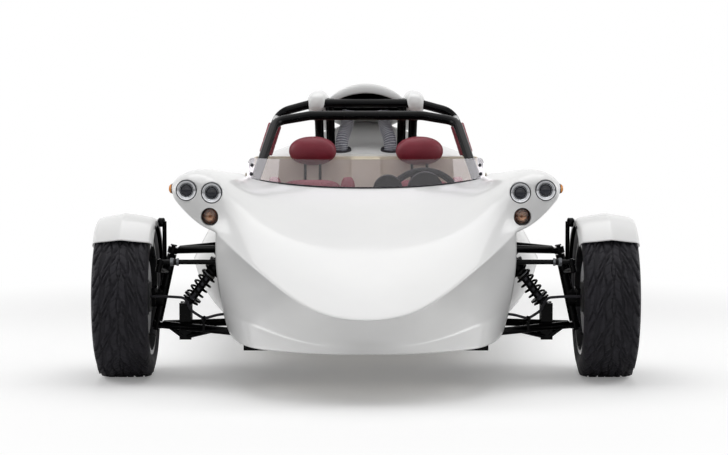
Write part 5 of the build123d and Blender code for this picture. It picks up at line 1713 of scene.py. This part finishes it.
@dataclass
class HoopFairing(SidePart):
    """A white fin behind the main hoop, on two black struts."""

    # y, inner x, outer x, underside z, top z of a hoop fairing
    sections: tuple[tuple[float, float, float, float, float], ...] = (
        (432, 180, 246, 966, 1020), (446, 172, 257, 955, 1036), (560, 168, 256, 945, 1048),
        (660, 160, 252, 925, 1034), (760, 146, 243, 898, 1008), (880, 143, 222, 870, 958),
        (998, 140, 196, 848, 900),
    )
    sides: int = 40
    power: float = 2.6
    tilt: float = 0.14
    nose_shrink: float = 0.82
    # across at the top, how far the foot stands inwards, height of the top
    struts: tuple[tuple[float, float, float], ...] = ((206, 5, 960), (158, 5, 1008))
    strut_r: float = 19.0
    strut_top_y: float = 500.0
    strut_foot_y: float = 560.0
    strut_foot_z: float = 790.0
    strut_collar: Section = ((0, 28), (5, 28), (7, 25), (7, 12))

    def build(self) -> None:
        """Builds the fin and its struts."""
        self._fin()
        self._struts()

    def _fin(self) -> None:
        """Builds the fin."""
        rows = []
        for n, (y, inner, outer, low, high) in enumerate(self.sections):
            shrink = 1.0 if n else self.nose_shrink
            half, rise = (outer - inner) / 2, (high - low) / 2
            row = []
            for i in range(self.sides):
                c, s = squircle(tau * i / self.sides, self.power)
                x = (inner + outer) / 2 + shrink * half * c
                row.append(self.at((x, y, (low + high) / 2 + shrink * rise * s - self.tilt * half * c)))
            rows.append(row)
        fin = loft(f"hoop_fairing_{self.letter}", rows, PEARL, front=True)
        add_modifier(fin, "SUBSURF", levels=1)
        apply_modifiers(fin)
        place(fin, "chassis", "hoop_fairings")

    def _struts(self) -> None:
        """Builds the two black struts that carry a fin."""
        parts = []
        for x, inwards, high in self.struts:
            top = self.at((x, self.strut_top_y, high))
            foot = self.at((x - inwards, self.strut_foot_y, self.strut_foot_z))
            parts.append(swept("strut", bent_route([top, foot], 10, 40), self.strut_r, POWDER, 24))
            parts.append(turned("collar", foot, (0, 0, 1), self.strut_collar, POWDER, 28))
        place(join_pieces(f"fairing_struts_{self.letter}", parts), "chassis")


@dataclass
class IntakeDuct(SidePart):
    """A ribbed duct wound with spring wire, and the collar where it leaves the engine cover."""

    route: tuple[Point, ...] = ((106, 500, 775), (106, 504, 830), (80.6, 561, 900), (76.3, 565, 958))
    bend: float = 60.0
    step: float = 1.6
    radius: float = 26.6
    rib: float = 1.2
    collar: Section = ((-8, 29.5), (-8, 42), (14, 42.5), (19, 41), (21, 37), (18, 31), (-8, 29.5))
    wire_pitch: float = 9.0
    wire_r: float = 1.5
    wire_proud: float = 0.9
    wire_steps: int = 6

    def build(self) -> None:
        """Builds the duct, its wire and its collar."""
        route = bent_route([self.at(point) for point in self.route], self.bend, self.step)
        name = f"intake_duct_{self.letter}"
        duct = swept(name, route, self.radius, HOSE_GREY, 40, self.rib, self.wire_pitch)
        place(duct, "chassis", "intake_ducts")
        place(self._wire(f"duct_wire_{self.letter}", route), "chassis")
        foot = self.at(self.route[0]) - Vector((0, 2, 0))
        collar = turned(f"duct_collar_{self.letter}", foot, (0, -0.3, 1), self.collar, RUBBER, 56)
        set_edges(collar)
        place(collar, "chassis")

    def _wire(self, name: str, route: list[Vector]) -> bpy.types.Object:
        """Winds the spring wire round a duct.

        Args:
            name: The wire's name.
            route: Points along the duct's centre.

        Returns:
            The wire.
        """
        coil: list[Vector] = []
        travelled = 0.0
        side = (route[1] - route[0]).orthogonal().normalized()
        for here, following in zip(route, route[1:]):
            ahead = (following - here).normalized()
            side = (side - ahead * side.dot(ahead)).normalized()
            up = ahead.cross(side)
            length = (following - here).length
            for k in range(self.wire_steps):
                share = k / self.wire_steps
                angle = tau * (travelled + length * share) / self.wire_pitch
                out = side * cos(angle) + up * sin(angle)
                coil.append(here.lerp(following, share) + out * (self.radius + self.wire_proud))
            travelled += length
        return swept(name, coil, self.wire_r, WIRE_STEEL, 6)


# ---- studio --------------------------------------------------------------------------
WHITE = (1.0, 1.0, 1.0, 1.0)


@dataclass
class Studio:
    """Camera, floor, world and lamps."""

    camera_place: tuple[float, float, float] = (0.0, -8.95, 1.15)
    pitch_deg: float = 4.25
    lens_mm: float = 107.2
    sensor_mm: float = 36.0
    centre_shift_x: float = -0.00275
    side_power: float = 72.0
    front_power: float = 15.0
    top_power: float = 116.0
    world_strength: float = 0.22
    floor_half_m: float = 30.0
    floor_fade_m: tuple[float, float] = (1.5, 3.1)
    floor_lift: float = 0.2

    def build(self) -> None:
        """Sets the camera, the floor, the world and the lamps."""
        scene = bpy.context.scene
        scene.view_settings.view_transform = "Standard"
        self._camera(scene)
        self._floor(scene)
        self._world(scene)
        self._lamps(scene)

    def _camera(self, scene: bpy.types.Scene) -> None:
        """Puts the camera in front of the car, a little above it.

        Args:
            scene: The scene that gets it.
        """
        data = bpy.data.cameras.new("camera_front")
        data.lens = self.lens_mm
        data.sensor_width = self.sensor_mm
        data.shift_x = self.centre_shift_x
        camera = bpy.data.objects.new("camera_front", data)
        camera.location = self.camera_place
        camera.rotation_euler = (radians(90 - self.pitch_deg), 0.0, 0.0)
        scene.collection.objects.link(camera)
        scene.camera = camera

    def _floor(self, scene: bpy.types.Scene) -> None:
        """Lays a pale floor that shows white to the camera and keeps the shadow.

        Args:
            scene: The scene that gets it.
        """
        mesh = bpy.data.meshes.new("studio_floor")
        corners = [Vector((x, y, 0)) * self.floor_half_m for x, y in ((-1, -1), (1, -1), (1, 1), (-1, 1))]
        mesh.from_pydata(corners, [], [(0, 1, 2, 3)])
        floor = bpy.data.objects.new("studio_floor", mesh)
        scene.collection.objects.link(floor)
        mesh.materials.append(self._paper())

    def _paper(self) -> bpy.types.Material:
        """Makes the floor's white paper: matt near the car, pure white to the camera farther off.

        Returns:
            The paper.
        """
        paper = bpy.data.materials.new("studio_paper_white")
        tree = empty_tree(paper)
        matt = add_node(tree, "BsdfPrincipled", {"Base Color": hex_to_linear("#F4F4F4"), "Roughness": 0.9})
        position = add_node(tree, "NewGeometry", output="Position")
        away = add_node(tree, "VectorMath", {0: position}, "Value", operation="LENGTH")
        near, far = self.floor_fade_m
        limits = {"Value": away, "From Min": near, "From Max": far}
        fade = add_node(tree, "MapRange", limits, interpolation_type="SMOOTHSTEP")
        seen = add_node(tree, "LightPath", output="Is Camera Ray")
        lift = add_node(tree, "Math", {0: seen, 1: self.floor_lift}, operation="MULTIPLY")
        haze = add_node(tree, "Emission", {"Color": WHITE, "Strength": lift})
        lifted = add_node(tree, "AddShader", {0: matt, 1: haze})
        glow = add_node(tree, "Emission", {"Color": WHITE, "Strength": 1.0})
        share = add_node(tree, "Math", {0: fade, 1: seen}, operation="MULTIPLY")
        mix = add_node(tree, "MixShader", {0: share, 1: lifted, 2: glow})
        add_node(tree, "OutputMaterial", {"Surface": mix})
        return paper

    def _world(self, scene: bpy.types.Scene) -> None:
        """Makes a soft world light that the camera, mirrors and glass see as plain white.

        Args:
            scene: The scene that gets it.
        """
        scene.world = bpy.data.worlds.new("studio_world")
        tree = empty_tree(scene.world)
        seen = add_node(tree, "LightPath", output="Is Camera Ray")
        for ray in ("Is Glossy Ray", "Is Transmission Ray"):
            other = add_node(tree, "LightPath", output=ray)
            seen = add_node(tree, "Math", {0: seen, 1: other}, operation="MAXIMUM")
        soft = add_node(tree, "Background", {"Color": WHITE, "Strength": self.world_strength})
        plain = add_node(tree, "Background", {"Color": WHITE, "Strength": 1.0})
        mix = add_node(tree, "MixShader", {0: seen, 1: soft, 2: plain})
        add_node(tree, "OutputWorld", {"Surface": mix})

    def _lamps(self, scene: bpy.types.Scene) -> None:
        """Hangs the soft boxes: one overhead, one on each side and a weak one in front.

        Args:
            scene: The scene that gets it.
        """
        # name, power, width, depth, place, aim
        for name, power, width, depth, spot, aim in (
            ("softbox_top", self.top_power, 4.0, 6.0, (0.0, 0.0, 4.6), (0.0, 0.0, 0.3)),
            ("softbox_left", self.side_power, 2.2, 3.4, (-4.4, -0.9, 2.6), (0.0, -0.9, 0.6)),
            ("softbox_right", self.side_power, 2.2, 3.4, (4.4, -0.9, 2.6), (0.0, -0.9, 0.6)),
            ("softbox_front", self.front_power, 5.0, 1.6, (0.0, -7.5, 3.4), (0.0, 0.0, 0.5)),
        ):
            data = bpy.data.lights.new(name, "AREA")
            data.shape = "RECTANGLE"
            data.size, data.size_y = width, depth
            data.energy = power
            lamp = bpy.data.objects.new(name, data)
            lamp.location = spot
            lamp.rotation_euler = (Vector(aim) - Vector(spot)).to_track_quat("-Z", "Y").to_euler()
            scene.collection.objects.link(lamp)


def main() -> None:
    """Sets the studio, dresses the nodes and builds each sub-assembly over them."""
    logging.basicConfig(level=logging.INFO, format="%(name)s: %(message)s")
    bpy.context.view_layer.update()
    Studio().build()
    dress_nodes()
    lower = (Fairing(), Wheels(), *both(Mudguard), *both(RunningGear))
    upper = (Lamps(), *both(Seat), Windscreen(), Scoop(), *both(HoopFairing), *both(IntakeDuct))
    for assembly in lower + upper:
        assembly.build()


if __name__ == "__main__":
    main()
